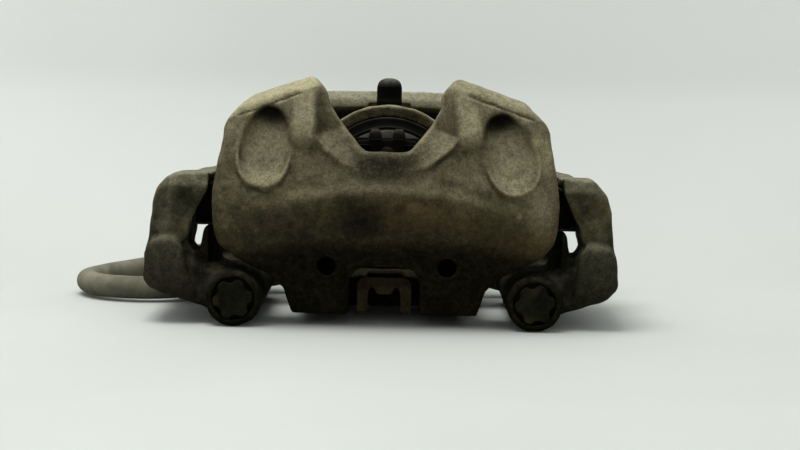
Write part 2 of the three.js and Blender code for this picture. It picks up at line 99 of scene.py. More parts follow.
def fast_mesh(name, verts, quads):
    me = bpy.data.meshes.new(name)
    nv, nq = len(verts), len(quads)
    me.vertices.add(nv)
    me.vertices.foreach_set("co", (np.asarray(verts, np.float32) * MM).ravel())
    me.loops.add(nq * 4)
    me.loops.foreach_set("vertex_index", np.asarray(quads, np.int32).ravel())
    me.polygons.add(nq)
    me.polygons.foreach_set("loop_start", np.arange(0, nq * 4, 4, dtype=np.int32))
    me.update(calc_edges=True)
    me.validate()
    ob = bpy.data.objects.new(name, me)
    bpy.context.scene.collection.objects.link(ob)
    me.shade_smooth()
    return ob


def apply_modifiers(ob):
    dg = bpy.context.evaluated_depsgraph_get()
    me = bpy.data.meshes.new_from_object(ob.evaluated_get(dg))
    ob.modifiers.clear()
    old = ob.data
    ob.data = me
    bpy.data.meshes.remove(old)
    return ob


def soften(ob, width=0.35, segments=2, angle=28):
    """Rounds the hard edges of a machined or pressed piece, and keeps its flats flat."""
    m = ob.modifiers.new("edge", "BEVEL")
    m.width = width * MM
    m.segments = segments
    m.limit_method = "ANGLE"
    m.angle_limit = math.radians(angle)
    m.harden_normals = False
    m.use_clamp_overlap = True
    apply_modifiers(ob)
    ob.data.shade_smooth()
    w = ob.modifiers.new("flats", "WEIGHTED_NORMAL")
    w.keep_sharp = True
    w.weight = 60
    apply_modifiers(ob)
    return ob


def lathe(name, profile, origin, axis="Y", n=72, closed=True):
    """Turns [radius, height] pairs about a line through origin along axis."""
    p = list(profile)
    verts, rings = [], []
    for r, h in p:
        if r < 1e-6:
            rings.append([len(verts)])
            verts.append((0, 0, h))
        else:
            rings.append(list(range(len(verts), len(verts) + n)))
            for i in range(n):
                a = 2 * math.pi * i / n
                verts.append((r * math.cos(a), r * math.sin(a), h))
    faces = []
    pairs = list(zip(range(len(p)), range(1, len(p))))
    if closed and p[0][0] > 1e-6:
        pairs.append((len(p) - 1, 0))
    for a, b in pairs:
        A, B = rings[a], rings[b]
        if len(A) == 1 and len(B) == 1:
            continue
        for i in range(n):
            j = (i + 1) % n
            if len(A) == 1:
                faces.append((A[0], B[j], B[i]))
            elif len(B) == 1:
                faces.append((A[i], A[j], B[0]))
            else:
                faces.append((A[i], A[j], B[j], B[i]))
    v = np.array(verts, float)
    if axis == "Y":
        v = np.stack([v[:, 0], v[:, 2], -v[:, 1]], 1)
    elif axis == "X":
        v = np.stack([v[:, 2], v[:, 0], v[:, 1]], 1)
    v = v + np.array(origin, float)
    ob = mesh_object(name, v, faces)
    fix_normals(ob)
    return ob


def fix_normals(ob):
    bm = bmesh.new()
    bm.from_mesh(ob.data)
    bmesh.ops.remove_doubles(bm, verts=bm.verts, dist=1e-7)
    bmesh.ops.recalc_face_normals(bm, faces=bm.faces)
    bm.to_mesh(ob.data)
    bm.free()
    ob.data.shade_smooth()


def prism(name, outline, y0, y1, holes=(), bevel=0.35, axis="Y", segments=2):
    """An outline of [x, z] pairs, with holes, given thickness from y0 to y1 along Y."""
    bm = bmesh.new()
    loops = [list(outline)] + [list(h) for h in holes]
    edges = []
    for lp in loops:
        vs = [bm.verts.new((x, y0, z)) for x, z in lp]
        edges += [bm.edges.new((vs[i], vs[(i + 1) % len(vs)])) for i in range(len(vs))]
    bmesh.ops.triangle_fill(bm, edges=edges, use_beauty=True, use_dissolve=False)
    bmesh.ops.dissolve_limit(bm, angle_limit=0.01, verts=bm.verts, edges=bm.edges, delimit={"NORMAL"})
    got = bmesh.ops.extrude_face_region(bm, geom=list(bm.faces))
    bmesh.ops.translate(bm, vec=(0, y1 - y0, 0), verts=[g for g in got["geom"] if isinstance(g, bmesh.types.BMVert)])
    bmesh.ops.recalc_face_normals(bm, faces=bm.faces)
    if axis == "Z":  # outline was [x, y], thickness along Z
        for v in bm.verts:
            v.co = Vector((v.co.x, v.co.z, v.co.y))
        bmesh.ops.recalc_face_normals(bm, faces=bm.faces)
    bmesh.ops.scale(bm, vec=(MM, MM, MM), verts=bm.verts)
    me = bpy.data.meshes.new(name)
    bm.to_mesh(me)
    bm.free()
    ob = bpy.data.objects.new(name, me)
    bpy.context.scene.collection.objects.link(ob)
    if bevel:
        soften(ob, bevel, segments)
    else:
        me.shade_flat()
    return ob


def circle(cx, cz, r, n=32, turn=0.0):
    return [(cx + r * math.cos(2 * math.pi * i / n + turn), cz + r * math.sin(2 * math.pi * i / n + turn)) for i in range(n)]


def polygon(cx, cz, r, n=6, turn=0.0):
    return circle(cx, cz, r, n, turn)


def join(name, *obs):
    """One object out of several closed shells."""
    bm = bmesh.new()
    for o in obs:
        bm.from_mesh(o.data)
    me = bpy.data.meshes.new(name)
    bm.to_mesh(me)
    bm.free()
    for o in obs:
        bpy.data.objects.remove(o)
    ob = bpy.data.objects.new(name, me)
    bpy.context.scene.collection.objects.link(ob)
    me.shade_smooth()
    return ob


def catmull(points, per=16):
    p = np.array(points, float)
    p = np.vstack([2 * p[0] - p[1], p, 2 * p[-1] - p[-2]])
    out = []
    for i in range(1, len(p) - 2):
        a, b, c, d = p[i - 1], p[i], p[i + 1], p[i + 2]
        t0 = 0.0
        t1 = t0 + np.linalg.norm(b - a) ** 0.5
        t2 = t1 + np.linalg.norm(c - b) ** 0.5
        t3 = t2 + np.linalg.norm(d - c) ** 0.5
        for t in np.linspace(t1, t2, per, endpoint=False):
            A1 = (t1 - t) / (t1 - t0) * a + (t - t0) / (t1 - t0) * b
            A2 = (t2 - t) / (t2 - t1) * b + (t - t1) / (t2 - t1) * c
            A3 = (t3 - t) / (t3 - t2) * c + (t - t2) / (t3 - t2) * d
            B1 = (t2 - t) / (t2 - t0) * A1 + (t - t0) / (t2 - t0) * A2
            B2 = (t3 - t) / (t3 - t1) * A2 + (t - t1) / (t3 - t1) * A3
            out.append((t2 - t) / (t2 - t1) * B1 + (t - t1) / (t2 - t1) * B2)
    out.append(p[-2])
    return np.array(out)


def sweep(name, path, radius, n=40):
    """A closed tube along a path; radius may be a number or one per point."""
    path = np.array(path, float)
    m = len(path)
    rad = np.full(m, radius, float) if np.isscalar(radius) else np.array(radius, float)
    tan = np.gradient(path, axis=0)
    tan /= np.linalg.norm(tan, axis=1)[:, None]
    u = np.cross(tan[0], (0, 0, 1.0))
    if np.linalg.norm(u) < 1e-3:
        u = np.array((1.0, 0, 0))
    u /= np.linalg.norm(u)
    verts, faces = [], []
    for i in range(m):
        u = u - tan[i] * np.dot(u, tan[i])
        u /= np.linalg.norm(u)
        w = np.cross(tan[i], u)
        for k in range(n):
            a = 2 * math.pi * k / n
            verts.append(path[i] + rad[i] * (math.cos(a) * u + math.sin(a) * w))
    for i in range(m - 1):
        for k in range(n):
            l = (k + 1) % n
            faces.append((i * n + k, i * n + l, (i + 1) * n + l, (i + 1) * n + k))
    verts += [path[0], path[-1]]
    c0, c1 = len(verts) - 2, len(verts) - 1
    for k in range(n):
        l = (k + 1) % n
        faces.append((c0, l, k))
        faces.append((c1, (m - 1) * n + k, (m - 1) * n + l))
    ob = mesh_object(name, verts, faces)
    fix_normals(ob)
    return ob


# ------------------------------------------------------------------ castings as distance fields
def smin(a, b, k):
    if k <= 0:
        return np.minimum(a, b)
    h = np.maximum(k - np.abs(a - b), 0) / k
    return np.minimum(a, b) - h * h * k * 0.25


def smax(a, b, k):
    return -smin(-a, -b, k)


def poly_distance(px, pz, points):
    """Signed distance on a 2-D grid to a closed outline, negative inside."""
    pts = np.array(points, np.float32)
    X, Z = np.meshgrid(px, pz, indexing="ij")
    best = np.full(X.shape, 1e9, np.float32)
    inside = np.zeros(X.shape, bool)
    n = len(pts)
    for i in range(n):
        ax, az = pts[i]
        bx, bz = pts[(i + 1) % n]
        ex, ez = bx - ax, bz - az
        L = ex * ex + ez * ez
        if L < 1e-9:
            continue
        t = np.clip(((X - ax) * ex + (Z - az) * ez) / L, 0, 1)
        best = np.minimum(best, (X - ax - t * ex) ** 2 + (Z - az - t * ez) ** 2)
        if az != bz:
            c = ((az > Z) != (bz > Z)) & (X < (bx - ax) * (Z - az) / (bz - az) + ax)
            inside ^= c
    d = np.sqrt(best)
    return np.where(inside, -d, d)


def round_outline(points, r, steps=4):
    """Cuts each corner of an outline back into a short arc."""
    out = []
    n = len(points)
    for i in range(n):
        p0, p1, p2 = (np.array(points[(i + k) % n], float) for k in (-1, 0, 1))
        a, b = p0 - p1, p2 - p1
        la, lb = np.linalg.norm(a), np.linalg.norm(b)
        q = min(r, la * 0.45, lb * 0.45)
        s, e = p1 + a / la * q, p1 + b / lb * q
        for t in np.linspace(0, 1, steps + 1):
            out.append(tuple((1 - t) ** 2 * s + 2 * t * (1 - t) * p1 + t * t * e))
    return out


class Field:
    """A grid of signed distances in mm that shapes are joined to and cut from."""

    def __init__(self, lo, hi, h):
        self.h = h
        self.lo = np.array(lo, float) - 3 * h
        n = np.ceil((np.array(hi, float) + 3 * h - self.lo) / h).astype(int) + 1
        self.x, self.y, self.z = (self.lo[i] + h * np.arange(n[i], dtype=np.float32) for i in range(3))
        self.x, self.y, self.z = (a.astype(np.float32) for a in (self.x, self.y, self.z))
        self.d = np.full(tuple(n), 30.0, np.float32)

    def part(self, lo, hi, pad):
        s = []
        for i, a in enumerate((self.x, self.y, self.z)):
            i0 = int(np.searchsorted(a, lo[i] - pad))
            i1 = int(np.searchsorted(a, hi[i] + pad))
            s.append(slice(max(i0 - 1, 0), min(i1 + 1, len(a))))
        return tuple(s)

    def mix(self, how, lo, hi, k, f):
        s = self.part(lo, hi, max(k, 1.0) + 2.5)
        x, y, z = self.x[s[0]][:, None, None], self.y[s[1]][None, :, None], self.z[s[2]][None, None, :]
        v = f(x, y, z).astype(np.float32)
        if how == "add":
            self.d[s] = smin(self.d[s], v, k)
        else:
            self.d[s] = smax(self.d[s], -v, k)

    def flat(self, x, z, pts):
        """2-D distance to an outline over a block's own x and z."""
        return poly_distance(x[:, 0, 0], z[0, 0, :], pts)[:, None, :] + 0 * x

    def slab(self, d2, y, y0, y1, r):
        """An outline's 2-D distance given depth along y, edges rounded by r."""
        w = np.abs(y - (y0 + y1) / 2) - (y1 - y0) / 2
        a, b = d2 + r, w + r
        return np.minimum(np.maximum(a, b), 0) + np.sqrt(np.maximum(a, 0) ** 2 + np.maximum(b, 0) ** 2) - r

    def extrude(self, how, pts, y0, y1, k=0.0, r=0.6, corner=0.0):
        if corner:
            pts = round_outline(pts, corner)
        p = np.array(pts)
        lo, hi = (p[:, 0].min(), y0, p[:, 1].min()), (p[:, 0].max(), y1, p[:, 1].max())
        s = self.part(lo, hi, max(k, 1.0) + 2.5)
        d2 = poly_distance(self.x[s[0]], self.z[s[2]], pts)[:, None, :]
        self.mix(how, lo, hi, k, lambda x, y, z: self.slab(d2, y, y0, y1, r))

    def extrude_x(self, how, pts, x0, x1, k=0.0, r=0.6):
        p = np.array(pts)
        lo, hi = (x0, p[:, 0].min(), p[:, 1].min()), (x1, p[:, 0].max(), p[:, 1].max())
        s = self.part(lo, hi, max(k, 1.0) + 2.5)
        d2 = poly_distance(self.y[s[1]], self.z[s[2]], pts)[None, :, :]
        self.mix(how, lo, hi, k, lambda x, y, z: self.slab(d2, x, x0, x1, r))

    def rod_y(self, how, cx, cz, rad, y0, y1, k=0.0, r=0.4):
        self.mix(how, (cx - rad, y0, cz - rad), (cx + rad, y1, cz + rad), k,
                 lambda x, y, z: self.slab(np.sqrt((x - cx) ** 2 + (z - cz) ** 2) - rad, y, y0, y1, r))

    def rod_z(self, how, cx, cy, rad, z0, z1, k=0.0, r=0.4):
        self.mix(how, (cx - rad, cy - rad, z0), (cx + rad, cy + rad, z1), k,
                 lambda x, y, z: self.slab(np.sqrt((x - cx) ** 2 + (y - cy) ** 2) - rad, z, z0, z1, r))

    def capsule(self, how, a, b, ra, rb, k=0.0):
        a, b = np.array(a, float), np.array(b, float)
        R = max(ra, rb)
        e = b - a
        L = float(e @ e)

        def f(x, y, z):
            t = np.clip(((x - a[0]) * e[0] + (y - a[1]) * e[1] + (z - a[2]) * e[2]) / L, 0, 1)
            return np.sqrt((x - a[0] - t * e[0]) ** 2 + (y - a[1] - t * e[1]) ** 2 + (z - a[2] - t * e[2]) ** 2) - (ra + (rb - ra) * t)

        self.mix(how, np.minimum(a, b) - R, np.maximum(a, b) + R, k, f)

    def ellipsoid(self, how, c, s, tilt=0.0, k=0.0, power=2.0):
        """Semi-axes s, turned by tilt (radians) about Y."""
        R = max(s)
        ct, st = math.cos(tilt), math.sin(tilt)

        def f(x, y, z):
            u, v = (x - c[0]) * ct + (z - c[2]) * st, -(x - c[0]) * st + (z - c[2]) * ct
            w = y - c[1]
            q = (np.abs(u / s[0]) ** power + np.abs(w / s[1]) ** power + np.abs(v / s[2]) ** power) ** (1 / power)
            return (q - 1) * min(s)

        self.mix(how, np.array(c) - R, np.array(c) + R, k, f)

    def settle(self):
        """Flips the faintest corner of each checkerboard cell face, so that no edge carries four quads."""
        d = self.d
        for _ in range(12):
            n = 0
            for ax in range(3):
                u, v = [i for i in range(3) if i != ax]

                def corner(a, b):
                    return tuple(slice(a, None if a else -1) if i == u else slice(b, None if b else -1) if i == v else slice(None) for i in range(3))

                q = [d[corner(a, b)] < 0 for a, b in ((0, 0), (1, 0), (1, 1), (0, 1))]
                where = np.argwhere((q[0] == q[2]) & (q[1] == q[3]) & (q[0] != q[1]))
                n += len(where)
                for c in where:
                    best = None
                    for a, b in ((0, 0), (1, 0), (1, 1), (0, 1)):
                        p = list(c)
                        p[u] += a
                        p[v] += b
                        p = tuple(p)
                        if best is None or abs(d[p]) < abs(d[best]):
                            best = p
                    d[best] = 0.02 if d[best] < 0 else -0.02
            if not n:
                break

    def surface(self, name, limit=195000):
        """Surface nets: one vertex per cell the surface passes through, one quad per crossed grid edge."""
        self.settle()
        d, h = self.d, self.h
        inside = d < 0
        nx, ny, nz = d.shape
        cells = np.zeros((nx - 1, ny - 1, nz - 1), bool)
        first = inside[:-1, :-1, :-1]
        corners = [(i, j, k) for i in (0, 1) for j in (0, 1) for k in (0, 1)]
        for i, j, k in corners[1:]:
            cells |= inside[i:nx - 1 + i, j:ny - 1 + j, k:nz - 1 + k] != first
        idx = np.full(cells.shape, -1, np.int64)
        where = np.argwhere(cells)
        idx[cells] = np.arange(len(where))
        vals = {c: d[where[:, 0] + c[0], where[:, 1] + c[1], where[:, 2] + c[2]] for c in corners}
        acc = np.zeros((len(where), 3))
        cnt = np.zeros(len(where))
        for a in corners:
            for ax in range(3):
                if a[ax]:
                    continue
                b = tuple(1 if i == ax else a[i] for i in range(3))
                va, vb = vals[a], vals[b]
                cross = (va < 0) != (vb < 0)
                t = np.where(cross, va / np.where(cross, va - vb, 1), 0)
                p = np.tile(np.array(a, float), (len(where), 1))
                p[:, ax] += t
                acc += p * cross[:, None]
                cnt += cross
        verts = (where + acc / cnt[:, None]) * h + self.lo
        quads = []
        for ax in range(3):
            lo = [slice(None)] * 3
            hi = [slice(None)] * 3
            lo[ax], hi[ax] = slice(0, -1), slice(1, None)
            cross = inside[tuple(lo)] != inside[tuple(hi)]
            e = np.argwhere(cross)
            o = [i for i in range(3) if i != ax]
            e = e[(e[:, o[0]] > 0) & (e[:, o[1]] > 0)]
            e = e[(e[:, o[0]] < d.shape[o[0]] - 1) & (e[:, o[1]] < d.shape[o[1]] - 1)]
            q = []
            for da, db in ((1, 1), (0, 1), (0, 0), (1, 0)):
                c = e.copy()
                c[:, o[0]] -= da
                c[:, o[1]] -= db
                q.append(idx[c[:, 0], c[:, 1], c[:, 2]])
            q = np.stack(q, 1)
            flip = inside[e[:, 0], e[:, 1], e[:, 2]]
            if ax == 1:
                flip = ~flip
            q[~flip] = q[~flip][:, ::-1]
            quads.append(q)
        quads = np.concatenate(quads)
        ob = fast_mesh(name, verts, quads)
        tris = 2 * len(quads)
        if tris > limit:
            m = ob.modifiers.new("thin", "DECIMATE")
            m.ratio = limit / tris
            apply_modifiers(ob)
            ob.data.shade_smooth()
        print("field", name, d.shape, "tris", tris)
        return ob


# ------------------------------------------------------------------ caliper housing casting
AXIS_Z = 45.0
PIN_X, PIN_Z = 60.7, 6.4


LEAN = 2.3


def lean(x, z):
    """How far the right finger's upper end is set over towards the notch."""
    t = np.clip((z - 76.0) / 15.0, 0, 1)
    return LEAN * (x > 0) * t * t * (3 - 2 * t)


def both(half, leaning=False):
    pts = list(half) + [(-x, z) for x, z in reversed(half)]
    return [(float(x - lean(x, z)), z) for x, z in pts] if leaning else pts


CLAW = both([
    (36.4, 0), (38.2, 4.5), (40.4, 9.5), (43.4, 14.2), (47.4, 17.6), (53.5, 20.6), (60, 24.0), (64.6, 27.2), (67.3, 31), (68.9, 36),
    (69.3, 42), (69.3, 49), (68.7, 54), (67.5, 61), (66.4, 67.5), (66.0, 71), (65.6, 75.2), (64.2, 78.2), (61.5, 81.4), (57.5, 85.6),
    (53.5, 88.2), (42, 92.2), (31.2, 95.8), (28.8, 95.0), (26.0, 91.8), (23.8, 88.6), (23.2, 84.0), (17.6, 76.4), (11.4, 68.4), (9.6, 66.5), (6.8, 65.7), (3, 65.6),
], True)
# step line under the dusty strip along each finger's top
STEP_B = (35.5, 89.3)
# facet that slants in to the notch, and the line where it leaves the pillar and the web
FACET = both([(0, 57.4), (9, 58.4), (17.7, 62.4), (24, 67.4), (29.3, 72.6), (28.6, 79), (28.0, 86), (27.4, 97), (27.4, 120)], True)
SCOOPS = ((-1, 48.3, 69.4, 0.17, 9.7, 15.4), (1, 48.8, 67.9, 0.36, 9.6, 16.0))


def strip_line(A, Z):
    nx, nz = 0.352, 0.936
    return nx * (A - STEP_B[0]) + nz * (Z - STEP_B[1]), (A - STEP_B[0]) * nz - (Z - STEP_B[1]) * nx


def soft(x, w):
    return 1 / (1 + np.exp(-np.clip(x / w, -30, 30)))


def scoop_oval(X, Z, s):
    """1 on the scoop's rim, less inside; and the height along its long axis."""
    k, cx, cz, t, hw, hh = s
    du, dz = X * k - cx, Z - cz
    v = -du * math.sin(t) + dz * math.cos(t)
    u = du * math.cos(t) + dz * math.sin(t)
    hw = hw * (1 - 0.10 * v / hh)
    return (np.abs(u / hw) ** 2.3 + np.abs(v / hh) ** 2.3) ** (1 / 2.3), v, u


def claw_front(xs, zs):
    """Depth of the claw's outboard face. The nearer to the viewer, the more negative."""
    X, Z = np.meshgrid(xs, zs, indexing="ij")
    A = np.abs(X) + lean(X, Z)
    crest = 51.8 - 0.0034 * A ** 2                        # ridge, lower towards the sides
    web = -54.6 + 0.235 * (Z - crest) + 0.0007 * A ** 2   # leans back above it
    band = -54.6 + 0.10 * (crest - Z) + 0.0006 * A ** 2   # upright band under it
    under = -53.2 + 0.40 * (31.0 - Z) + 0.0010 * A ** 2   # tucks under at the foot
    y = smax(smax(web, band, 3.0), under, 5.0)
    y = y - 0.40 * np.exp(-((Z - crest - 0.3) / 2.4) ** 2) * soft(46 - A, 5.0)
    # cheeks turn away towards the outline
    y = smax(y, -54.2 + 0.30 * (A - 46.0) + 0.009 * np.maximum(A - 52, 0) ** 2, 6.0)
    # pillar beside the scoop
    up = soft(Z - 70.5, 2.6)
    y = y - 2.3 * np.exp(-((A - 33.2) / 6.0) ** 4) * up * soft(93 - Z, 2.0)
    # saddle between the two pillars' feet and the ridge
    y = y + 0.8 * np.exp(-((A - 12) / 14) ** 2) * np.exp(-((Z - 62) / 8) ** 2)
    # scoops: floor deep at the top, running out at the foot, with a raised lip there
    for s in SCOOPS:
        q, v, u = scoop_oval(X, Z, s)
        side = (X * s[0]) > 0
        e = (1 - q) * s[4]
        wall = np.clip(e / (2.9 - 0.9 * np.clip(v / 14, 0, 1)), 0, 1)
        wall = wall * wall * (3 - 2 * wall)
        floor = 4.0 + 0.155 * v + 0.06 * u
        pocket = 3.4 * np.exp(-((v - 11.6) / 3.6) ** 2) * np.exp(-((u - 0.3) / 5.4) ** 2)
        lip = 0.95 * np.exp(-((e + 0.9) / 0.85) ** 2) * np.clip(-v / 7.0, 0, 1) + 0.4 * np.exp(-((e + 1.0) / 1.1) ** 2)
        y = y + side * (wall * (floor + pocket) - lip)
    # facet that slants in to the notch
    f = -poly_distance(xs, zs, FACET)
    y = y + 0.70 * (np.sqrt(np.maximum(f, 0) ** 2 + 0.03) - 0.17) * (0.30 + 0.70 * soft(A - 15 + 0.35 * (66 - Z), 2.4))
    foot = soft(76 - Z, 1.0) * soft(A - 16, 2.0)
    y = y - (0.45 + 0.35 * (X > 0)) * np.exp(-((f + 0.4) / 1.2) ** 2) * foot - 0.7 * np.exp(-((f + 0.2) / 0.8) ** 2) * (1 - foot) * soft(Z - 70, 1.0)
    y = y - 0.9 * np.exp(-((A - 29.6) ** 2 + (Z - 72.2) ** 2) / 5.5)
    # dusty strip along the top
    s, along = strip_line(A, Z)
    run = np.clip((along + 2.5) / 2.5, 0, 1) * np.clip((27.0 - along) / 2.5, 0, 1)
    strip = -46.6 + 1.9 * s - 1.1 * soft(s, 0.2) * run
    y = smax(y, strip, 0.45)
    wob = 0.35 * np.sin(A * 0.9) + 0.2 * np.sin(A * 2.3 + 1)
    y = y + 1.9 * np.exp(-((s + 0.25 - 0.35 * wob) / 0.62) ** 2) * run
    # end of the finger rolls back beside the notch
    y = smax(y, -47.4 + 0.9 * (Z - 90.0) + 0.55 * (30.5 - A), 1.2)
    # shallow horizontal steps above the window and about the holes
    y = y + 0.85 * soft(34.4 + 0.10 * np.sin(A * 0.5) - Z, 0.35) * soft(44 - A, 3.0) + 0.65 * soft(26.3 - Z, 0.35) * soft(27 - A, 1.5)
    y = y + 0.9 * soft(23.2 - Z, 0.3) * soft(15.6 - A, 0.4)
    # low, rubbed patch left of the middle
    q = np.maximum(np.abs(X + 8.0) - 9.6, np.abs(Z - 41.0) - 6.4)
    y = y + 0.75 * soft(-q, 0.7)
    # cast nubs and hollows
    for cx, cz, r, a in ((-51, 33.5, 1.5, -0.7), (-49, 31, 1.1, -0.5), (53.5, 41, 1.4, -0.8), (20, 44, 4.5, 0.6), (27, 40, 3.2, 0.5), (57, 33, 5.5, 0.7), (-60, 57, 4.5, 0.5),
                         (61.5, 70, 3.0, -0.9), (-62.5, 73, 3.0, -0.8), (11, 46.5, 3.5, 0.5), (36, 47, 3.5, 0.45), (-30, 52, 5, 0.4), (1, 52, 4.5, -0.5)):
        y = y + a * np.exp(-((X - cx) ** 2 + (Z - cz) ** 2) / r ** 2)
    return y


def coarse_noise(shape, h, size, seed):
    """Smooth random field with features of the given size in mm."""
    g = np.random.default_rng(seed).standard_normal([int(math.ceil(s * h / size)) + 3 for s in shape]).astype(np.float32)
    for ax in range(3):
        t = np.arange(shape[ax]) * h / size
        i = np.floor(t).astype(int)
        w = t - i
        w = (w * w * (3 - 2 * w)).astype(np.float32).reshape([-1 if a == ax else 1 for a in range(3)])
        g = np.take(g, i, axis=ax) * (1 - w) + np.take(g, i + 1, axis=ax) * w
    return g


def paint(ob, shade):
    """Stores three masks for the material, worked out from each vertex's place in mm."""
    n = len(ob.data.vertices)
    co = np.empty(n * 3)
    ob.data.vertices.foreach_get("co", co)
    co = co.reshape(-1, 3) / MM
    tone = np.zeros((n, 4), np.float32)
    tone[:, :3] = np.clip(np.stack(shade(co[:, 0], co[:, 1], co[:, 2]), 1), 0, 1)
    tone[:, 3] = 1
    at = ob.data.attributes.new("tone", "FLOAT_COLOR", "POINT")
    at.data.foreach_set("color", tone.ravel())
    return ob


def lumps(x, y, z, amp=0.10):
    """Slow unevenness of a sand casting."""
    return amp * (np.sin(0.31 * x + 1.3 * np.sin(0.11 * z) + 0.7) * np.sin(0.27 * z + 0.9 * np.sin(0.13 * y)) + 0.6 * np.sin(0.63 * x + 0.5 * y) * np.sin(0.55 * z - 0.41 * y + 1.1))


def build_housing():
    f = Field((-70.4, -54.0, -3.4), (70.4, 85, 96), CAST_VOXEL)
    # claw
    s = f.part((-69.3, -54, 0), (69.3, -31.4, 96), 4)
    xs, ys, zs = f.x[s[0]], f.y[s[1]], f.z[s[2]]
    d2 = poly_distance(xs, zs, round_outline(CLAW, 1.6))
    X, Z = np.meshgrid(xs, zs, indexing="ij")
    yf = claw_front(xs, zs)
    yf = np.maximum(yf, -53.8)
    gx, gz = np.gradient(yf, f.h)
    g = np.sqrt(1 + np.minimum(gx ** 2 + gz ** 2, 9))
    Y = ys[None, :, None]
    front = (yf[:, None, :] - Y) / g[:, None, :]
    swell = 1.7 * soft(-41.6 - Y, 0.7) * soft(70 - Z, 3.0)[:, None, :]
    d = smax(front, d2[:, None, :] - swell, 4.6)
    # narrower fillet at the notch edge and the finger tips, where the facets stay crisp
    crisp = smax(front, d2[:, None, :] + 0 * Y, 1.2)
    m = np.clip((Z - 64) / 6, 0, 1) * np.clip((44 - np.abs(X)) / 8, 0, 1)
    m = np.maximum(m, soft(strip_line(np.abs(X) + lean(X, Z), Z)[0] + 2.0, 0.7))
    m = m[:, None, :]
    d = d * (1 - m) + crisp * m
    back = Y + 31.4 + 0 * d
    d = smax(d, back, 1.2)
    f.d[s] = np.minimum(f.d[s], d)
    # bridge, barrel and lugs
    f.extrude("add", [(-36.4, 0), (36.4, 0), (38.2, 6), (37.2, 12.5), (-37.2, 12.5), (-38.2, 6)], -38.6, 66, 5.0, 1.2, 1.5)
    f.extrude("add", [(-30, 3.6), (30, 3.6), (33, 22), (20, 30), (-20, 30), (-33, 22)], 40, 78, 6.0, 2.5, 3)
    f.rod_y("add", 0, AXIS_Z, 34.3, 40, 81.8, 5.0, 4.5)
    f.rod_y("add", 0, AXIS_Z, 37.4, 33.0, 41.2, 2.5, 0.9)
    for k in (-1, 1):
        f.extrude("add", [(k * 22, 30), (k * 22, 7), (k * 40, 1.2), (k * 55, -2.3), (k * 63, -3.2), (k * 69, 1.6), (k * 70.2, 8),
                          (k * 66, 14.6), (k * 53, 20.5), (k * 40, 29)], 52, 62, 7.0, 1.2, 3)
        f.rod_y("add", k * PIN_X, PIN_Z, 9.3, 52, 62, 2.5, 0.8)
        # web ribs from the bridge to the barrel
        f.capsule("add", (k * 34, 20, 9), (k * 22, 38, 22), 4.5, 6.0, 6)
    f.rod_z("add", 0, 47, 7.5, 70, 81, 3.0, 0.6)
    f.rod_y("add", -14, 36, 9.1, 74, 85, 3.0, 0.5)
    # rear boss
    f.rod_y("add", 0, AXIS_Z, 12, 78, 82.0, 4.0, 1.0)
    GX, GZ = np.meshgrid(f.x, f.z, indexing="ij")
    calm = 1 - 0.75 * (soft(strip_line(np.abs(GX) + lean(GX, GZ), GZ)[0] - 0.3, 0.4) * soft(GZ - 60, 3))[:, None, :] * soft(-36 - f.y, 2)[None, :, None]
    f.d += lumps(f.x[:, None, None], f.y[None, :, None], f.z[None, None, :], 0.10) * calm
    f.d += (0.10 * coarse_noise(f.d.shape, f.h, 4.2, 5) + 0.055 * coarse_noise(f.d.shape, f.h, 2.0, 6)) * calm
    # machined cuts
    f.mix("cut", (-70, -15.5, 12), (70, 15.5, 97), 0.3, lambda x, y, z: f.slab(np.sqrt(x ** 2 + (z - 166) ** 2) - 153.4, y, -15.5, 15.5, 1.0))
    f.mix("cut", (-34, 15, 12.5), (34, 33, 60), 1.0,
          lambda x, y, z: np.maximum(np.maximum(np.abs(x) - 34, np.abs(y - 24) - 9.0), np.abs(z - 36.2) - 23.7))
    f.rod_y("cut", 0, AXIS_Z, 27.3, 29, 76, 0.3, 0.3)
    f.rod_y("cut", 0, AXIS_Z, 32.6, 29, 36.6, 0.3, 0.3)
    f.rod_y("cut", 0, AXIS_Z, 30.4, 39.0, 42.6, 0.2, 0.2)
    # window at the claw's root
    win = both([(14.3, -4), (14.3, 13.6), (12.6, 18.0), (8.4, 20.2)])
    f.extrude("cut", win, -62, -15.5, 1.0, 0.6, 3)
    f.extrude("cut", both([(13.0, -4), (13.0, 13.0), (11.0, 16.9), (7, 18.2)]), -62, -15.5, 0.6, 0.5, 2)
    # spring holes and their burred mouths
    for k in (-1, 1):
        f.rod_y("cut", k * 24.2 + 0.9, 20.3, 3.9, -62, -37, 0.9, 0.3)
    f.mix("cut", (-8.6, -34.4, 58), (8.6, -30.4, 70), 0.5,
          lambda x, y, z: np.maximum(np.maximum(np.abs(x) - 8.6, np.abs(y + 32.4) - 2.0), np.abs(z - 64) - 6))
    for k in (-1, 1):
        f.rod_y("cut", k * PIN_X, PIN_Z, 4.3, 50, 64, 0.3, 0.2)
        # ground spot faces for the bolts
        f.rod_y("cut", k * PIN_X, PIN_Z, 9.0, 61.95, 66, 0.2, 0.1)
    f.rod_z("cut", 0, 47, 4.3, 73, 90, 0.3, 0.2)
    f.rod_y("cut", -14, 36, 5.2, 72, 88, 0.3, 0.2)
    # the bridge's outer face is a machined flat
    f.mix("cut", (-71, -60, -8), (71, 46, 0), 0.6, lambda x, y, z: np.maximum(z, np.maximum(y - 46, np.abs(x) - 52) + 0 * z) + 0 * x)
    ob = f.surface("v_caliper_housing")
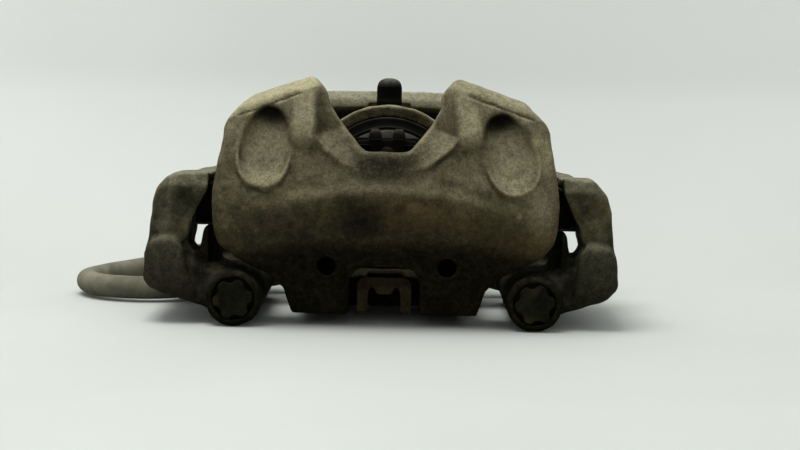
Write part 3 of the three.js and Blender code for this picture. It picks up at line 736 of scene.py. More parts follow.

    # masks for the material: pale marks (dust, with painted highlights), dark marks (mostly painted shade) and rust
    def shade(x, y, z):
        a = np.abs(x) + lean(x, z)
        front = soft(-34 - y, 1.0)
        s, along = strip_line(a, z)
        crest = 51.8 - 0.0034 * a ** 2
        # pale marks: mostly dust; on the scoops' lower lips, the pillars and the ridge they are painted highlights as
        # well
        dust_and_highlight = soft(s + 0.2, 0.3) * soft(z - 60, 4) * np.where(x > 0, 0.46, 0.66)
        dark = np.zeros_like(x)
        for sc in SCOOPS:
            q, v, u = scoop_oval(x, z, sc)
            dust_and_highlight = np.maximum(dust_and_highlight, (x * sc[0] > 0) * soft(0.93 - q, 0.04) * 0.30 * soft(8.5 - v, 2.0))
            dust_and_highlight = np.maximum(dust_and_highlight, (x * sc[0] > 0) * 0.42 * np.exp(-((q - 1.07) / 0.06) ** 2) * soft(-v - 2.0, 2.0))
            # painted shadow in the top of each scoop, under the strip's overhang
            dark = np.maximum(dark, (x * sc[0] > 0) * soft(0.97 - q, 0.03) * 0.98 * soft(v - 8.6, 1.2) * soft(6.6 - np.abs(u - 0.3), 1.0))
        dust_and_highlight = np.maximum(dust_and_highlight, 0.44 * np.exp(-((a - 33) / 5.2) ** 4) * soft(z - 72, 2))
        dust_and_highlight = np.maximum(dust_and_highlight, 0.26 * soft(z - 79, 4))
        dust_and_highlight = np.maximum(dust_and_highlight, 0.24 * np.exp(-((a - 62) / 6) ** 2) * soft(z - 66, 5))
        dust_and_highlight = np.maximum(dust_and_highlight, 0.34 * np.exp(-((x - 64) / 6) ** 2 - ((z - 66) / 10) ** 2))
        dust_and_highlight = np.maximum(dust_and_highlight, 0.24 * np.exp(-((x - 62) / 7) ** 2 - ((z - 46) / 11) ** 2))
        # painted highlight: light caught along the ridge
        dust_and_highlight = np.maximum(dust_and_highlight, 0.22 * np.exp(-((z - crest - 1.2) / 2.4) ** 2) * soft(44 - a, 5.0))
        # rubbed patch; darker notch foot; painted shade on the claw's lower part, which faces down, and on the band
        # under the ridge
        dark = np.maximum(dark, 0.86 * soft(10.8 - np.abs(x + 8.5), 2.6) * soft(9.6 - np.abs(z - 38.6), 2.2))
        dark = np.maximum(dark, 0.90 * soft(15 - a, 3.0) * soft(6.5 - np.abs(z - 61.5), 1.5))
        dark = np.maximum(dark, 0.45 * soft(26 - a, 3.0) * soft(6.5 - np.abs(z - 61.5), 2.5))
        dark = np.maximum(dark, 1.00 * soft(22.0 - z, 3.5))
        dark = np.maximum(dark, 0.92 * soft(33.2 - 0.004 * (a - 20) ** 2 * (a > 20) - z, 2.2))
        dark = np.maximum(dark, 0.55 * soft(46.0 - z - 0.003 * a ** 2, 3.0))
        dark = np.maximum(dark, 0.30 * np.exp(-((z - crest + 4.5) / 3.0) ** 2) * soft(46 - a, 4.0))
        # painted shade on the facet and on the shaded side of each pillar, stronger on the left
        dark = np.maximum(dark, 0.50 * soft(a - 24.2, 0.8) * soft(28.6 - a, 0.6) * soft(z - 71, 1.5) * soft(92 - z, 2) * np.where(x < 0, 1.0, 0.55))
        dark = np.maximum(dark, 0.22 * (x < 0) * soft(26 - a, 1.2) * soft(a - 11, 2.5) * soft(z - 64, 1.5))
        rust = 0.8 * np.exp(-((x + 63) / 7) ** 2 - ((z - 61) / 9) ** 2) + 0.55 * np.exp(-((x + 32) / 10) ** 2 - ((z - 64) / 8) ** 2)
        rust += 0.75 * np.exp(-((x - 14) / 11) ** 2 - ((z - 43) / 5) ** 2) + 0.7 * np.exp(-((x - 57) / 8) ** 2 - ((z - 32) / 6) ** 2)
        rust += 0.5 * np.exp(-((x - 60) / 8) ** 2 - ((z - 62) / 9) ** 2) + 0.4 * np.exp(-((x + 45) / 12) ** 2 - ((z - 38) / 6) ** 2)
        # painted shade inside recesses: on the bridge between the pads, in the bore, in the window and in the spring
        # holes
        inside = 0.98 * soft(y + 33, 1.0) * soft(29 - y, 1.0) * soft(40 - z, 4.0) + 0.9 * soft(y - 29, 0.5) * soft(31.5 - np.hypot(x, z - 45), 0.6) * soft(80 - y, 0.6)
        inside = np.maximum(inside, 1.0 * soft(16.6 - a, 0.4) * soft(23.4 - z, 0.4) * soft(-20 - y, 2))
        inside = np.maximum(inside, 1.0 * soft(4.6 - np.hypot(a - 24.6, z - 20.3), 0.5) * soft(y + 50.5, 0.6))
        rim = 0.46 * soft(34 - y, 0.6) * soft(y - 28, 0.6) * soft(np.hypot(x, z - 45) - 33.6, 0.5) * soft(z - 60, 4)
        return dust_and_highlight * front, np.maximum(np.maximum(dark * front, inside), rim), rust * front

    return paint(ob, shade)


# ------------------------------------------------------------------ carrier bracket casting
def build_carrier():
    f = Field((-98.6, -47, -5), (95.4, 77, 88), CAST_VOXEL)
    for k in (-1, 1):
        o = 0 if k < 0 else -3.2
        m = (lambda p: [(k * x, z) for x, z in p])
        outboard = [(60, 15), (67.4, 19.0), (69.0, 24), (69.6, 30), (70.0, 34.2), (73.4, 34.3), (74.2, 31.0), (75.2, 25.4), (77.6, 23.8), (80.0, 26.6), (80.4, 31.0), (78.8, 34.4),
                    (78.6, 51.9), (71.0, 52.1), (70.8, 56.2), (84, 55.6), (88.8 + o, 54.6), (92.9 + o, 50.0), (94.8 + o, 43.5), (96.0 + o, 31),
                    (97.4 + o, 22.8), (98.2 + o, 12), (95.4 + o, 8.6), (89.8, 6.6), (75, 2.0), (66, 1)]
        f.extrude("add", m(outboard), -36.4, -14.5, 2.0, 1.6, 1.4)
        # lip that closes the outer corner of the ear's guide
        f.extrude("add", m([(69.8, 56.6), (69.8, 52.8), (79.6, 32.6), (82, 32.6), (88, 44), (84, 55.6)]), -37.3, -34.5, 0.8, 0.9, 1.0)
        # the arm's upper length, with a broad bevel down its outer side
        bar = [(70.6, 56.0), (71.2, 51.5), (79.0, 35.6), (79.8, 31.0), (83, 27), (94.6 + o, 26), (95.0 + o, 33), (93.6 + o, 43.5), (91.8 + o, 49.6), (88.0 + o, 54.0), (84, 55.2)]
        pts = round_outline(m(bar), 1.2)
        f.mix("add", (min(p[0] for p in pts), -40.4, 26), (max(p[0] for p in pts), -33, 57), 1.2,
              lambda x, y, z, p=pts, kk=k, oo=o: smax(np.maximum(f.flat(x, z, p), np.maximum(-40.2 - y, y + 33)),
                                             (-39.6 - y + 0.62 * np.maximum(kk * x - (87.0 + oo) + 0.16 * (z - 40), 0) + 0.5 * np.maximum(z - 51.0, 0)) * 0.82, 1.2))
        across = [(60, 14.5), (66, 15.4), (76, 16.0), (85.4, 16.6), (86.2, 34), (90, 37.6), (95.0 + o, 36), (97.6 + o, 22.8), (98.0 + o, 13),
                  (94.8 + o, 9.6), (90.8, 8.4), (76, 6.0), (66, 1)]
        f.extrude("add", m(across), -17, 17, 4.0, 2.0, 2)
        inboard = [(60, 14.5), (67.6, 16), (69.6, 30), (69.9, 34.2), (72.6, 34.4), (73.6, 16.6), (85, 17.4), (85, 32.5), (78.6, 34.2),
                   (78.6, 51.9), (71.0, 52.1), (70.8, 54.2), (80, 53.8), (86 + o, 52.0), (92.0 + o, 47.6), (95.6 + o, 44), (98.2 + o, 31),
                   (98.2 + o, 13), (94.8 + o, 9.8), (90.8, 8.6), (76, 6.0), (66, 1)]
        f.extrude("add", m(inboard), 14.5, 34.3, 3.0, 2.6, 1.6)
        # bolder lower front block of the arm
        block = [(74, 3.6), (89, 6.8), (95.4 + o, 9.6), (97.8 + o, 13), (97.4 + o, 23.5), (94.2 + o, 29.0), (85.2 + o, 30.6), (81.6 + o, 26.0), (79.6 + o * 0.6, 16.0), (76.5, 9)]
        pts = round_outline(m(block), 1.6)
        f.mix("add", (min(p[0] for p in pts), -44, 2), (max(p[0] for p in pts), -26, 32), 1.8,
              lambda x, y, z, p=pts, kk=k, oo=o: smax(np.maximum(f.flat(x, z, p), y + 26), (-43.4 - y + 0.55 * np.maximum(kk * x - (92 + oo), 0) + 0.30 * np.maximum(14 - z, 0) + 0.45 * np.maximum(z - 27.5, 0)) * 0.85, 1.6))
        f.extrude("add", m([(60, 3.0), (78, 4.2), (84, 10), (84, 22), (76, 19.5), (70, 17.0), (60, 16)]), -38.6, -26, 2.6, 2.4, 2.0)
        # bores' bosses
        f.rod_y("add", k * PIN_X, PIN_Z, 11.3, -46.0, 37.9, 4.5, 0.8)
        f.rod_y("add", k * PIN_X, PIN_Z, 10.4, -46.9, -40, 0.6, 0.7)
        # struts back to the mounting ears
        f.capsule("add", (k * 70, 33.5, 47), (k * 59.5, 69, 69), 7.2, 6.8, 5)
        f.capsule("add", (k * 66, 33.5, 43), (k * 55.5, 68, 65), 4.4, 5.0, 5)
        f.capsule("add", (k * 84, 32.2, 42), (k * 70, 34.5, 46), 5.6, 6.0, 5)
        f.capsule("add", (k * 89, 31.2, 28), (k * 86.5, 32, 42), 4.6, 5.0, 4)
        f.rod_y("add", k * 56, 73, 11.9, 62.2, 76.9, 3.0, 0.8)
    tie = both([(6, 87.7), (20, 87.5), (34, 87.2), (48, 86.0), (60, 83.6), (64, 79), (58, 63), (44, 62), (36, 69.6), (31, 78.0), (24, 80.3), (6, 80.4)])
    f.extrude("add", tie, 62.2, 75.9, 3.0, 1.5, 2)
    f.extrude("add", both([(6, 84), (34, 84), (46, 72), (46, 58), (30, 58), (6, 78)]), 66.5, 75.5, 2.0, 1.0, 2)
    f.mix("cut", (-62, 60, 78), (62, 72, 90), 0.6, lambda x, y, z: (84.0 + 1.25 * (y - 62.2) - z + 0 * x) * 0.62)
    f.d += lumps(f.x[:, None, None] + 40, f.y[None, :, None], f.z[None, None, :] + 9, 0.10)
    f.d += 0.11 * coarse_noise(f.d.shape, f.h, 4.0, 15) + 0.06 * coarse_noise(f.d.shape, f.h, 2.0, 16)
    # machined pad guides
    for k in (-1, 1):
        for y0, y1 in ((-38, -13.5), (13.5, 31.2)):
            guide = [(k * 66, 51.9), (k * 78.4, 51.9), (k * 78.4, 34.7), (k * 66, 34.7)]
            f.extrude("cut", guide, y0, y1, 0.3, 0.2)
        f.rod_y("cut", k * PIN_X, PIN_Z, 5.35, -45, 40, 0.2, 0.2)
        f.rod_y("cut", k * PIN_X, PIN_Z, 8.4, -49, -41, 0.3, 0.3)
        f.rod_y("cut", k * PIN_X, PIN_Z, 7.4, 35, 40, 0.3, 0.3)
        f.rod_y("cut", k * 56, 73, 6.2, 58, 80, 0.4, 0.3)
        f.rod_y("cut", k * 56, 73, 11.0, 76.8, 80, 0.2, 0.1)
    f.rod_y("cut", 0, AXIS_Z, 36.3, 30, 90, 0.4, 0.4)
    # relief under the tie bar for the bleed boss
    f.mix("cut", (-9.5, 60, 74), (9.5, 78, 82.4), 0.8, lambda x, y, z: np.maximum(np.maximum(np.abs(x) - 9.5, np.abs(y - 62) - 3.5), np.abs(z - 78.2) - 4.2))
    # clearance for the claw and the disc
    f.mix("cut", (-99, -15, 10), (99, 15, 97), 0.8, lambda x, y, z: f.slab(np.sqrt(x ** 2 + (z - 166) ** 2) - 152.4, y, -14, 14, 0.6))
    # clear view between the arm and the claw's flank
    f.mix("cut", (-72.4, -47, 17.8), (72.4, -30, 60), 0.6, lambda x, y, z: np.maximum(np.maximum(np.abs(x) - 71.7, np.abs(y + 41) - 10), np.abs(z - 39) - 19.5))
    ob = f.surface("v_carrier_bracket")

    # masks for the material: dust, partly painted highlight on the tie bar's top; dark marks, mostly painted shade;
    # and rust
    def shade(x, y, z):
        a = np.abs(x)
        # dust on the arms' lower outer faces and upper tops; on the tie bar's top it is partly painted highlight
        dust_and_highlight = 0.20 * soft(a - 78, 2.0) * soft(30 - z, 2.0) * soft(-38.5 - y, 0.8) * soft(z - 12, 4) + 0.62 * soft(y - 58, 2) * soft(z - 80.0, 0.5)
        dust_and_highlight = np.maximum(dust_and_highlight, 0.22 * soft(z - 52.5, 1.0) * soft(a - 70, 2))
        # darker boss faces; painted shade on the lower parts, between arm and claw, inside and beside the pad guides
        # and under the tie bar
        dark = 0.98 * soft(10.6 - np.hypot(a - PIN_X, z - PIN_Z), 0.6) * soft(-38 - y, 1.0)
        dark = np.maximum(dark, 0.75 * soft(25 - z, 5) * soft(78 - a, 3))
        dark = np.maximum(dark, 0.74 * soft(31 - z, 3))
        dark = np.maximum(dark, 1.0 * soft(78.6 - a, 0.8) * soft(36 - z, 1) * soft(z - 14, 2) * soft(20 - y, 2))
        dark = np.maximum(dark, 0.90 * soft(79.2 - a, 0.5) * soft(52 - z, 1) * soft(z - 33, 1) * soft(y + 36.8, 0.3))
        dark = np.maximum(dark, 0.92 * soft(13.0 - np.hypot(a - PIN_X, z - PIN_Z), 0.6) * soft(-30 - y, 2))
        dark = np.maximum(dark, 0.55 * soft(5.5 - np.hypot(a - 80, z - 46), 2.0))
        dark = np.maximum(dark, 0.9 * soft(y - 60, 2) * soft(79.2 - z, 0.8) * soft(48 - a, 1))
        rust = 0.5 * np.exp(-((x - 84) / 9) ** 2 - ((z - 44) / 13) ** 2) + 0.45 * np.exp(-((x - 90) / 9) ** 2 - ((z - 18) / 9) ** 2) + 0.5 * np.exp(-((x + 88) / 9) ** 2 - ((z - 16) / 8) ** 2)
        return dust_and_highlight, dark, rust

    return paint(ob, shade)


# ------------------------------------------------------------------ materials
def lin(r, g, b):
    return tuple((c / 255 / 12.92) if c / 255 <= 0.04045 else ((c / 255 + 0.055) / 1.055) ** 2.4 for c in (r, g, b)) + (1.0,)


class Nodes:
    """Short names for building a node tree. Coordinates are in mm."""

    def __init__(self, name):
        self.mat = bpy.data.materials.new(name)
        self.mat.use_nodes = True
        self.t = self.mat.node_tree
        self.t.nodes.clear()
        self.out = self.t.nodes.new("ShaderNodeOutputMaterial")
        self.b = self.t.nodes.new("ShaderNodeBsdfPrincipled")
        self.t.links.new(self.b.outputs[0], self.out.inputs[0])
        co = self.t.nodes.new("ShaderNodeTexCoord")
        sc = self.t.nodes.new("ShaderNodeVectorMath")
        sc.operation = "SCALE"
        sc.inputs["Scale"].default_value = 1000.0
        self.t.links.new(co.outputs["Object"], sc.inputs[0])
        self.co = sc.outputs[0]
        geo = self.t.nodes.new("ShaderNodeNewGeometry")
        self.geo = geo
        sep = self.t.nodes.new("ShaderNodeSeparateXYZ")
        self.t.links.new(geo.outputs["Normal"], sep.inputs[0])
        self.up = sep.outputs[2]
        self.ny = sep.outputs[1]
        p = self.t.nodes.new("ShaderNodeSeparateXYZ")
        self.t.links.new(self.co, p.inputs[0])
        self.px, self.py, self.pz = p.outputs

    def link(self, a, b):
        if isinstance(a, (int, float)):
            b.default_value = a
        elif isinstance(a, tuple):
            b.default_value = a
        else:
            self.t.links.new(a, b)

    def noise(self, scale, detail=4.0, rough=0.55, distort=0.0, stretch=None, seed=0.0):
        n = self.t.nodes.new("ShaderNodeTexNoise")
        n.noise_dimensions = "3D"
        n.inputs["Scale"].default_value = scale
        n.inputs["Detail"].default_value = detail
        n.inputs["Roughness"].default_value = rough
        n.inputs["Distortion"].default_value = distort
        co = self.co
        if stretch or seed:
            m = self.t.nodes.new("ShaderNodeMapping")
            m.inputs["Location"].default_value = (seed, seed * 1.7, -seed)
            m.inputs["Scale"].default_value = stretch or (1, 1, 1)
            self.link(co, m.inputs[0])
            co = m.outputs[0]
        self.link(co, n.inputs["Vector"])
        return n.outputs["Fac"]

    def voronoi(self, scale, feature="F1", rand=1.0):
        n = self.t.nodes.new("ShaderNodeTexVoronoi")
        n.feature = feature
        n.inputs["Scale"].default_value = scale
        n.inputs["Randomness"].default_value = rand
        self.link(self.co, n.inputs["Vector"])
        return n.outputs["Distance"]

    def m(self, op, a, b=0.0, c=0.0, clamp=False):
        n = self.t.nodes.new("ShaderNodeMath")
        n.operation = op
        n.use_clamp = clamp
        for i, v in enumerate((a, b, c)):
            self.link(v, n.inputs[i])
        return n.outputs[0]

    def ramp(self, v, lo, hi, a=0.0, b=1.0, smooth=True):
        n = self.t.nodes.new("ShaderNodeMapRange")
        n.interpolation_type = "SMOOTHSTEP" if smooth else "LINEAR"
        for i, q in enumerate((v, lo, hi, a, b)):
            self.link(q, n.inputs[i])
        return n.outputs[0]

    def mix(self, f, a, b, blend="MIX"):
        n = self.t.nodes.new("ShaderNodeMix")
        n.data_type = "RGBA"
        n.blend_type = blend
        self.link(f, n.inputs[0])
        self.link(a, n.inputs[6])
        self.link(b, n.inputs[7])
        return n.outputs[2]

    def ao(self, dist, samples=6):
        n = self.t.nodes.new("ShaderNodeAmbientOcclusion")
        n.samples = samples
        n.inputs["Distance"].default_value = dist * MM
        return n.outputs["AO"]

    def bump(self, height, dist, strength=1.0, normal=None):
        n = self.t.nodes.new("ShaderNodeBump")
        n.inputs["Strength"].default_value = strength
        n.inputs["Distance"].default_value = dist * MM
        self.link(height, n.inputs["Height"])
        if normal is not None:
            self.link(normal, n.inputs["Normal"])
        return n.outputs[0]

    def done(self, color, rough, metal=0.0, normal=None, spec=0.5):
        self.link(color, self.b.inputs["Base Color"])
        self.link(rough, self.b.inputs["Roughness"])
        self.link(metal, self.b.inputs["Metallic"])
        self.link(spec, self.b.inputs["Specular IOR Level"])
        if normal is not None:
            self.link(normal, self.b.inputs["Normal"])
        return self.mat


def cast_iron(name, base, dust_and_highlight, rust, dusty, rusty, seed=0.0, grain=1.0, painted=True):
    """Sand-cast iron: coarse grain, pits, brown and purplish staining, pale dust on what faces up."""
    n = Nodes(name)
    big = n.noise(0.020, 3, 0.5, 0.6, seed=seed + 3)
    mid = n.noise(0.085, 6, 0.66, 0.5, seed=seed + 11)
    fine = n.noise(0.36, 7, 0.80, seed=seed + 23)
    grit = n.noise(1.25, 4, 0.75, seed=seed + 31)
    pits = n.voronoi(0.42)
    ao = n.ao(9.0, 8)
    edge = n.ramp(n.geo.outputs["Pointiness"], 0.51, 0.60)
    jitter = n.m("MULTIPLY", n.m("SUBTRACT", mid, 0.5), 1.3)
    speck = n.m("MULTIPLY", n.m("SUBTRACT", fine, 0.5), 1.1)
    dust_and_highlight_m = dark_m = rust_m = 0.0
    sheen = 0.04
    if painted:
        at = n.t.nodes.new("ShaderNodeAttribute")
        at.attribute_name = "tone"
        sp = n.t.nodes.new("ShaderNodeSeparateColor")
        n.link(at.outputs["Color"], sp.inputs[0])
        dust_and_highlight_m, dark_m, rust_m = sp.outputs
    col = n.mix(n.ramp(n.m("ADD", mid, n.m("MULTIPLY", speck, 0.75)), 0.28, 0.74), tuple(c * 0.44 for c in base[:3]) + (1,), tuple(c * 1.22 for c in base[:3]) + (1,))
    # rust and purple-brown stains, in patches
    r = n.m("MULTIPLY", n.ramp(n.m("ADD", big, n.m("MULTIPLY", speck, 0.3)), 0.50, 0.72), 0.55 * rusty, clamp=True)
    if painted:
        r = n.m("ADD", r, n.m("MULTIPLY", rust_m, n.ramp(n.m("ADD", mid, n.m("MULTIPLY", speck, 0.4)), 0.34, 0.62, 0.0, 0.75)), clamp=True)
    warm = n.mix(n.ramp(n.m("ADD", n.px, n.m("MULTIPLY", jitter, 30)), -30, 20), lin(78, 58, 52), rust)
    col = n.mix(r, col, warm)
    olive = n.noise(0.05, 3, 0.6, 0.5, seed=seed + 61)
    col = n.mix(n.m("MULTIPLY", n.ramp(olive, 0.48, 0.70), 0.25), col, lin(84, 80, 50))
    # dust lies on faces that look up, and thins on those that look down
    up = n.ramp(n.up, -0.05, 0.85, smooth=False)
    d = n.m("MULTIPLY", n.m("ADD", up, n.m("MULTIPLY", jitter, 0.22)), dusty, clamp=True)
    # the stored pale mask adds dust, and painted highlights where the casting's shade function put them
    if painted:
        d = n.m("MAXIMUM", d, n.m("MULTIPLY", n.m("ADD", dust_and_highlight_m, n.m("MULTIPLY", n.m("MULTIPLY", jitter, 0.35), dust_and_highlight_m)), 0.95), clamp=True)
    d = n.m("MULTIPLY", d, n.ramp(n.m("ADD", fine, n.m("MULTIPLY", grit, 0.3)), 0.42, 0.80, n.ramp(d, 0.35, 0.9, 0.62, 0.94), 1.0), clamp=True)
    col = n.mix(d, col, n.mix(n.ramp(grit, 0.35, 0.65), tuple(c * 0.90 for c in dust_and_highlight[:3]) + (1,), dust_and_highlight))
    col = n.mix(n.m("MULTIPLY", edge, 0.34 if painted else 0.25), col, lin(140, 131, 96) if painted else tuple(c * 1.6 for c in base[:3]) + (1,))
    col = n.mix(n.m("MULTIPLY", n.ramp(grit, 0.58, 0.74), 0.14 if painted else 0.04), col, lin(150, 140, 98))
    dark = n.m("MULTIPLY", n.ramp(pits, 0.0, 0.16, 1.0, 0.0), n.ramp(fine, 0.50, 0.68))
    col = n.mix(n.m("MULTIPLY", n.m("MULTIPLY", dark, 0.62), n.ramp(d, 0.3, 0.9, 1.0, 0.25)), col, lin(18, 16, 12))
    if painted:
        # the stored dark mask, mostly painted shade, darkens towards near black
        k = n.ramp(n.m("ADD", dark_m, n.m("MULTIPLY", n.m("MULTIPLY", jitter, 0.30), dark_m)), 0.0, 0.90, smooth=False)
        k = n.m("MULTIPLY", k, n.ramp(fine, 0.3, 0.75, 1.0, 0.88), clamp=True)
        col = n.mix(n.m("MULTIPLY", k, 0.97), col, lin(11, 11, 8))
        sheen = n.m("MULTIPLY", n.m("SUBTRACT", 1.0, k, clamp=True), 0.09)
    # painted shade in hollows and between parts, from ambient occlusion
    col = n.mix(n.ramp(ao, 0.10, 0.72, 0.92, 0.0, smooth=False), col, lin(11, 11, 8))
    col = n.mix(n.ramp(d, 0.25, 0.9, 0.80, 0.22), col, n.mix(n.ramp(n.m("ADD", n.m("MULTIPLY", grit, 0.6), n.m("MULTIPLY", fine, 0.4)), 0.36, 0.62), (0.64, 0.64, 0.62, 1), (1.20, 1.19, 1.14, 1)), "MULTIPLY")
    rough = n.m("ADD", n.ramp(fine, 0.3, 0.7, 0.58, 0.82), n.m("MULTIPLY", d, 0.16), clamp=True)
    h = n.m("ADD", fine, n.m("MULTIPLY", grit, 0.40))
    h = n.m("SUBTRACT", h, n.m("MULTIPLY", n.ramp(pits, 0.0, 0.26, 1.0, 0.0), n.ramp(mid, 0.45, 0.62, 0.0, 0.9)))
    nrm = n.bump(n.m("MULTIPLY", h, n.ramp(d, 0.25, 0.9, 1.0, 0.40)), 0.62 * grain, 0.85)
    return n.done(col, rough, 0.0, nrm, sheen)


def metal(name, color, dirt_and_shade_color, amount, rough=0.36, streak=None, rust=0.0, seed=0.0, metalness=0.85, dusty=1.0):
    """Machined or plated steel with grime in patches, painted shade in its corners, scuffs and, where asked for, rust.
    """
    n = Nodes(name)
    mid = n.noise(0.16, 5, 0.6, 0.3, seed=seed + 5)
    fine = n.noise(0.95, 5, 0.7, seed=seed + 17)
    lines = n.noise(0.55, 4, 0.6, stretch=streak or (1, 1, 1), seed=seed + 29)
    ao = n.ao(3.0)
    edge = n.ramp(n.geo.outputs["Pointiness"], 0.51, 0.60)
    # grime in patches, plus painted shade in corners from ambient occlusion
    dirt_and_shade = n.m("ADD", n.ramp(mid, 0.34, 0.66, 0.0, amount), n.ramp(ao, 0.2, 0.9, 0.75, 0.0), clamp=True)
    col = n.mix(n.ramp(lines, 0.3, 0.7), tuple(c * 0.82 for c in color[:3]) + (1,), color)
    if rust:
        r = n.m("MULTIPLY", n.ramp(n.m("ADD", mid, n.m("MULTIPLY", fine, 0.35)), 0.58, 0.78), rust, clamp=True)
        col = n.mix(r, col, n.mix(n.ramp(fine, 0.35, 0.65), lin(92, 56, 34), lin(136, 92, 54)))
    else:
        r = 0.0
    col = n.mix(dirt_and_shade, col, dirt_and_shade_color)
    # pale colour on faces that look up: dust, and on the dark clip painted highlights on the prong tops
    up = n.ramp(n.up, 0.15, 0.95)
    dust_and_highlight = n.m("MULTIPLY", up, n.ramp(mid, 0.3, 0.7, 0.25, 0.75), clamp=True)
    col = n.mix(n.m("MULTIPLY", dust_and_highlight, 0.55 * dusty), col, lin(142, 137, 116))
    col = n.mix(n.m("MULTIPLY", edge, 0.30 * dusty * dusty), col, lin(190, 186, 172))
    met = n.m("MULTIPLY", n.m("SUBTRACT", 1.0, n.m("MAXIMUM", dirt_and_shade, n.m("MAXIMUM", dust_and_highlight, r))), metalness, clamp=True)
    ro = n.m("ADD", n.ramp(lines, 0.3, 0.7, rough - 0.06, rough + 0.08), n.m("MULTIPLY", dirt_and_shade, 0.38), clamp=True)
    nrm = n.bump(n.m("ADD", n.m("MULTIPLY", lines, 0.6), n.m("MULTIPLY", fine, 0.5)), 0.10 + 0.25 * rust, 0.6)
    return n.done(col, ro, met, nrm, 0.5 if metalness > 0.5 else 0.015)


def rubber(name, color, dust_and_highlight, dusty, seed=0.0, rough=0.62, scale=1.0):
    n = Nodes(name)
    mid = n.noise(0.14 * scale, 4, 0.6, 0.3, seed=seed + 2)
    fine = n.noise(1.3 * scale, 4, 0.65, seed=seed + 9)
    ao = n.ao(2.5)
    # pale colour on faces that look up: dust, and on the cap and the boot painted highlights as well
    up = n.ramp(n.up, 0.15, 0.95, smooth=False)
    d = n.m("MULTIPLY", n.m("MULTIPLY", up, dusty), n.ramp(mid, 0.28, 0.66, 0.35, 1.0), clamp=True)
    d = n.m("MULTIPLY", d, n.ramp(fine, 0.3, 0.6, 0.55, 1.0), clamp=True)
    col = n.mix(n.ramp(mid, 0.3, 0.7), tuple(c * 0.7 for c in color[:3]) + (1,), color)
    col = n.mix(d, col, dust_and_highlight)
    # painted shade in hollows, from ambient occlusion
    col = n.mix(n.ramp(ao, 0.2, 0.9, 0.7, 0.0), col, lin(14, 14, 12))
    ro = n.m("ADD", n.ramp(fine, 0.3, 0.7, rough - 0.1, rough + 0.06), n.m("MULTIPLY", d, 0.3), clamp=True)
    return n.done(col, ro, 0.0, n.bump(n.m("ADD", fine, n.m("MULTIPLY", mid, 0.6)), 0.12, 0.5), 0.02)


def hose_material():
    """Dusty outer cover, faint moulded cloth weave under it."""
    n = Nodes("m_hose")
    mid = n.noise(0.10, 4, 0.6, 0.4, seed=4)
    fine = n.noise(1.1, 4, 0.65, seed=13)
    up = n.ramp(n.up, -0.55, 0.9, smooth=False)
    base = n.mix(n.ramp(mid, 0.3, 0.7), lin(58, 57, 45), lin(84, 82, 66))
    d = n.m("MULTIPLY", up, n.ramp(mid, 0.25, 0.7, 0.45, 0.95), clamp=True)
    col = n.mix(n.m("MULTIPLY", d, 0.80), base, lin(150, 146, 124))
    col = n.mix(n.m("MULTIPLY", n.ramp(fine, 0.55, 0.75), 0.25), col, lin(44, 43, 36))
    w = n.t.nodes.new("ShaderNodeTexWave")
    w.wave_type = "BANDS"
    w.bands_direction = "DIAGONAL"
    w.inputs["Scale"].default_value = 0.55
    w.inputs["Distortion"].default_value = 1.2
    n.link(n.co, w.inputs["Vector"])
    h = n.m("ADD", n.m("MULTIPLY", w.outputs["Fac"], 0.25), fine)
    return n.done(col, n.ramp(fine, 0.3, 0.7, 0.66, 0.86), 0.0, n.bump(h, 0.16, 0.5), 0.35)


def lining_material():
    """Friction compound: dark binder with brass, copper and pale mineral chips; the binder is darkened further as
    painted shade, for the deep shade between the pads.
    """
    n = Nodes("m_lining")
    cells = n.t.nodes.new("ShaderNodeTexVoronoi")
    cells.inputs["Scale"].default_value = 1.15
    n.link(n.co, cells.inputs["Vector"])
    sep = n.t.nodes.new("ShaderNodeSeparateColor")
    n.link(cells.outputs["Color"], sep.inputs[0])
    fine = n.noise(1.6, 5, 0.7, seed=6)
    mid = n.noise(0.12, 4, 0.6, seed=8)
    # near-black binder colours, partly painted shade
    col = n.mix(n.ramp(fine, 0.3, 0.7), lin(12, 11, 10), lin(25, 24, 21))
    near = n.ramp(cells.outputs["Distance"], 0.15, 0.36, 1.0, 0.0)
    col = n.mix(n.m("MULTIPLY", n.m("GREATER_THAN", sep.outputs[0], 0.90), near), col, lin(160, 120, 66))
    col = n.mix(n.m("MULTIPLY", n.m("GREATER_THAN", sep.outputs[1], 0.86), near), col, lin(150, 147, 138))
    col = n.mix(n.m("MULTIPLY", n.ramp(mid, 0.45, 0.7), 0.4), col, lin(30, 23, 17))
    up = n.ramp(n.up, 0.0, 1.0)
    col = n.mix(n.m("MULTIPLY", up, 0.025), col, lin(90, 85, 70))
    # painted shade in hollows, from ambient occlusion
    col = n.mix(n.ramp(n.ao(7.0), 0.2, 0.95, 0.9, 0.0), col, lin(12, 12, 10))
    return n.done(col, 0.92, 0.0, n.bump(n.m("ADD", fine, n.m("MULTIPLY", near, 0.3)), 0.35, 0.8), 0.0)


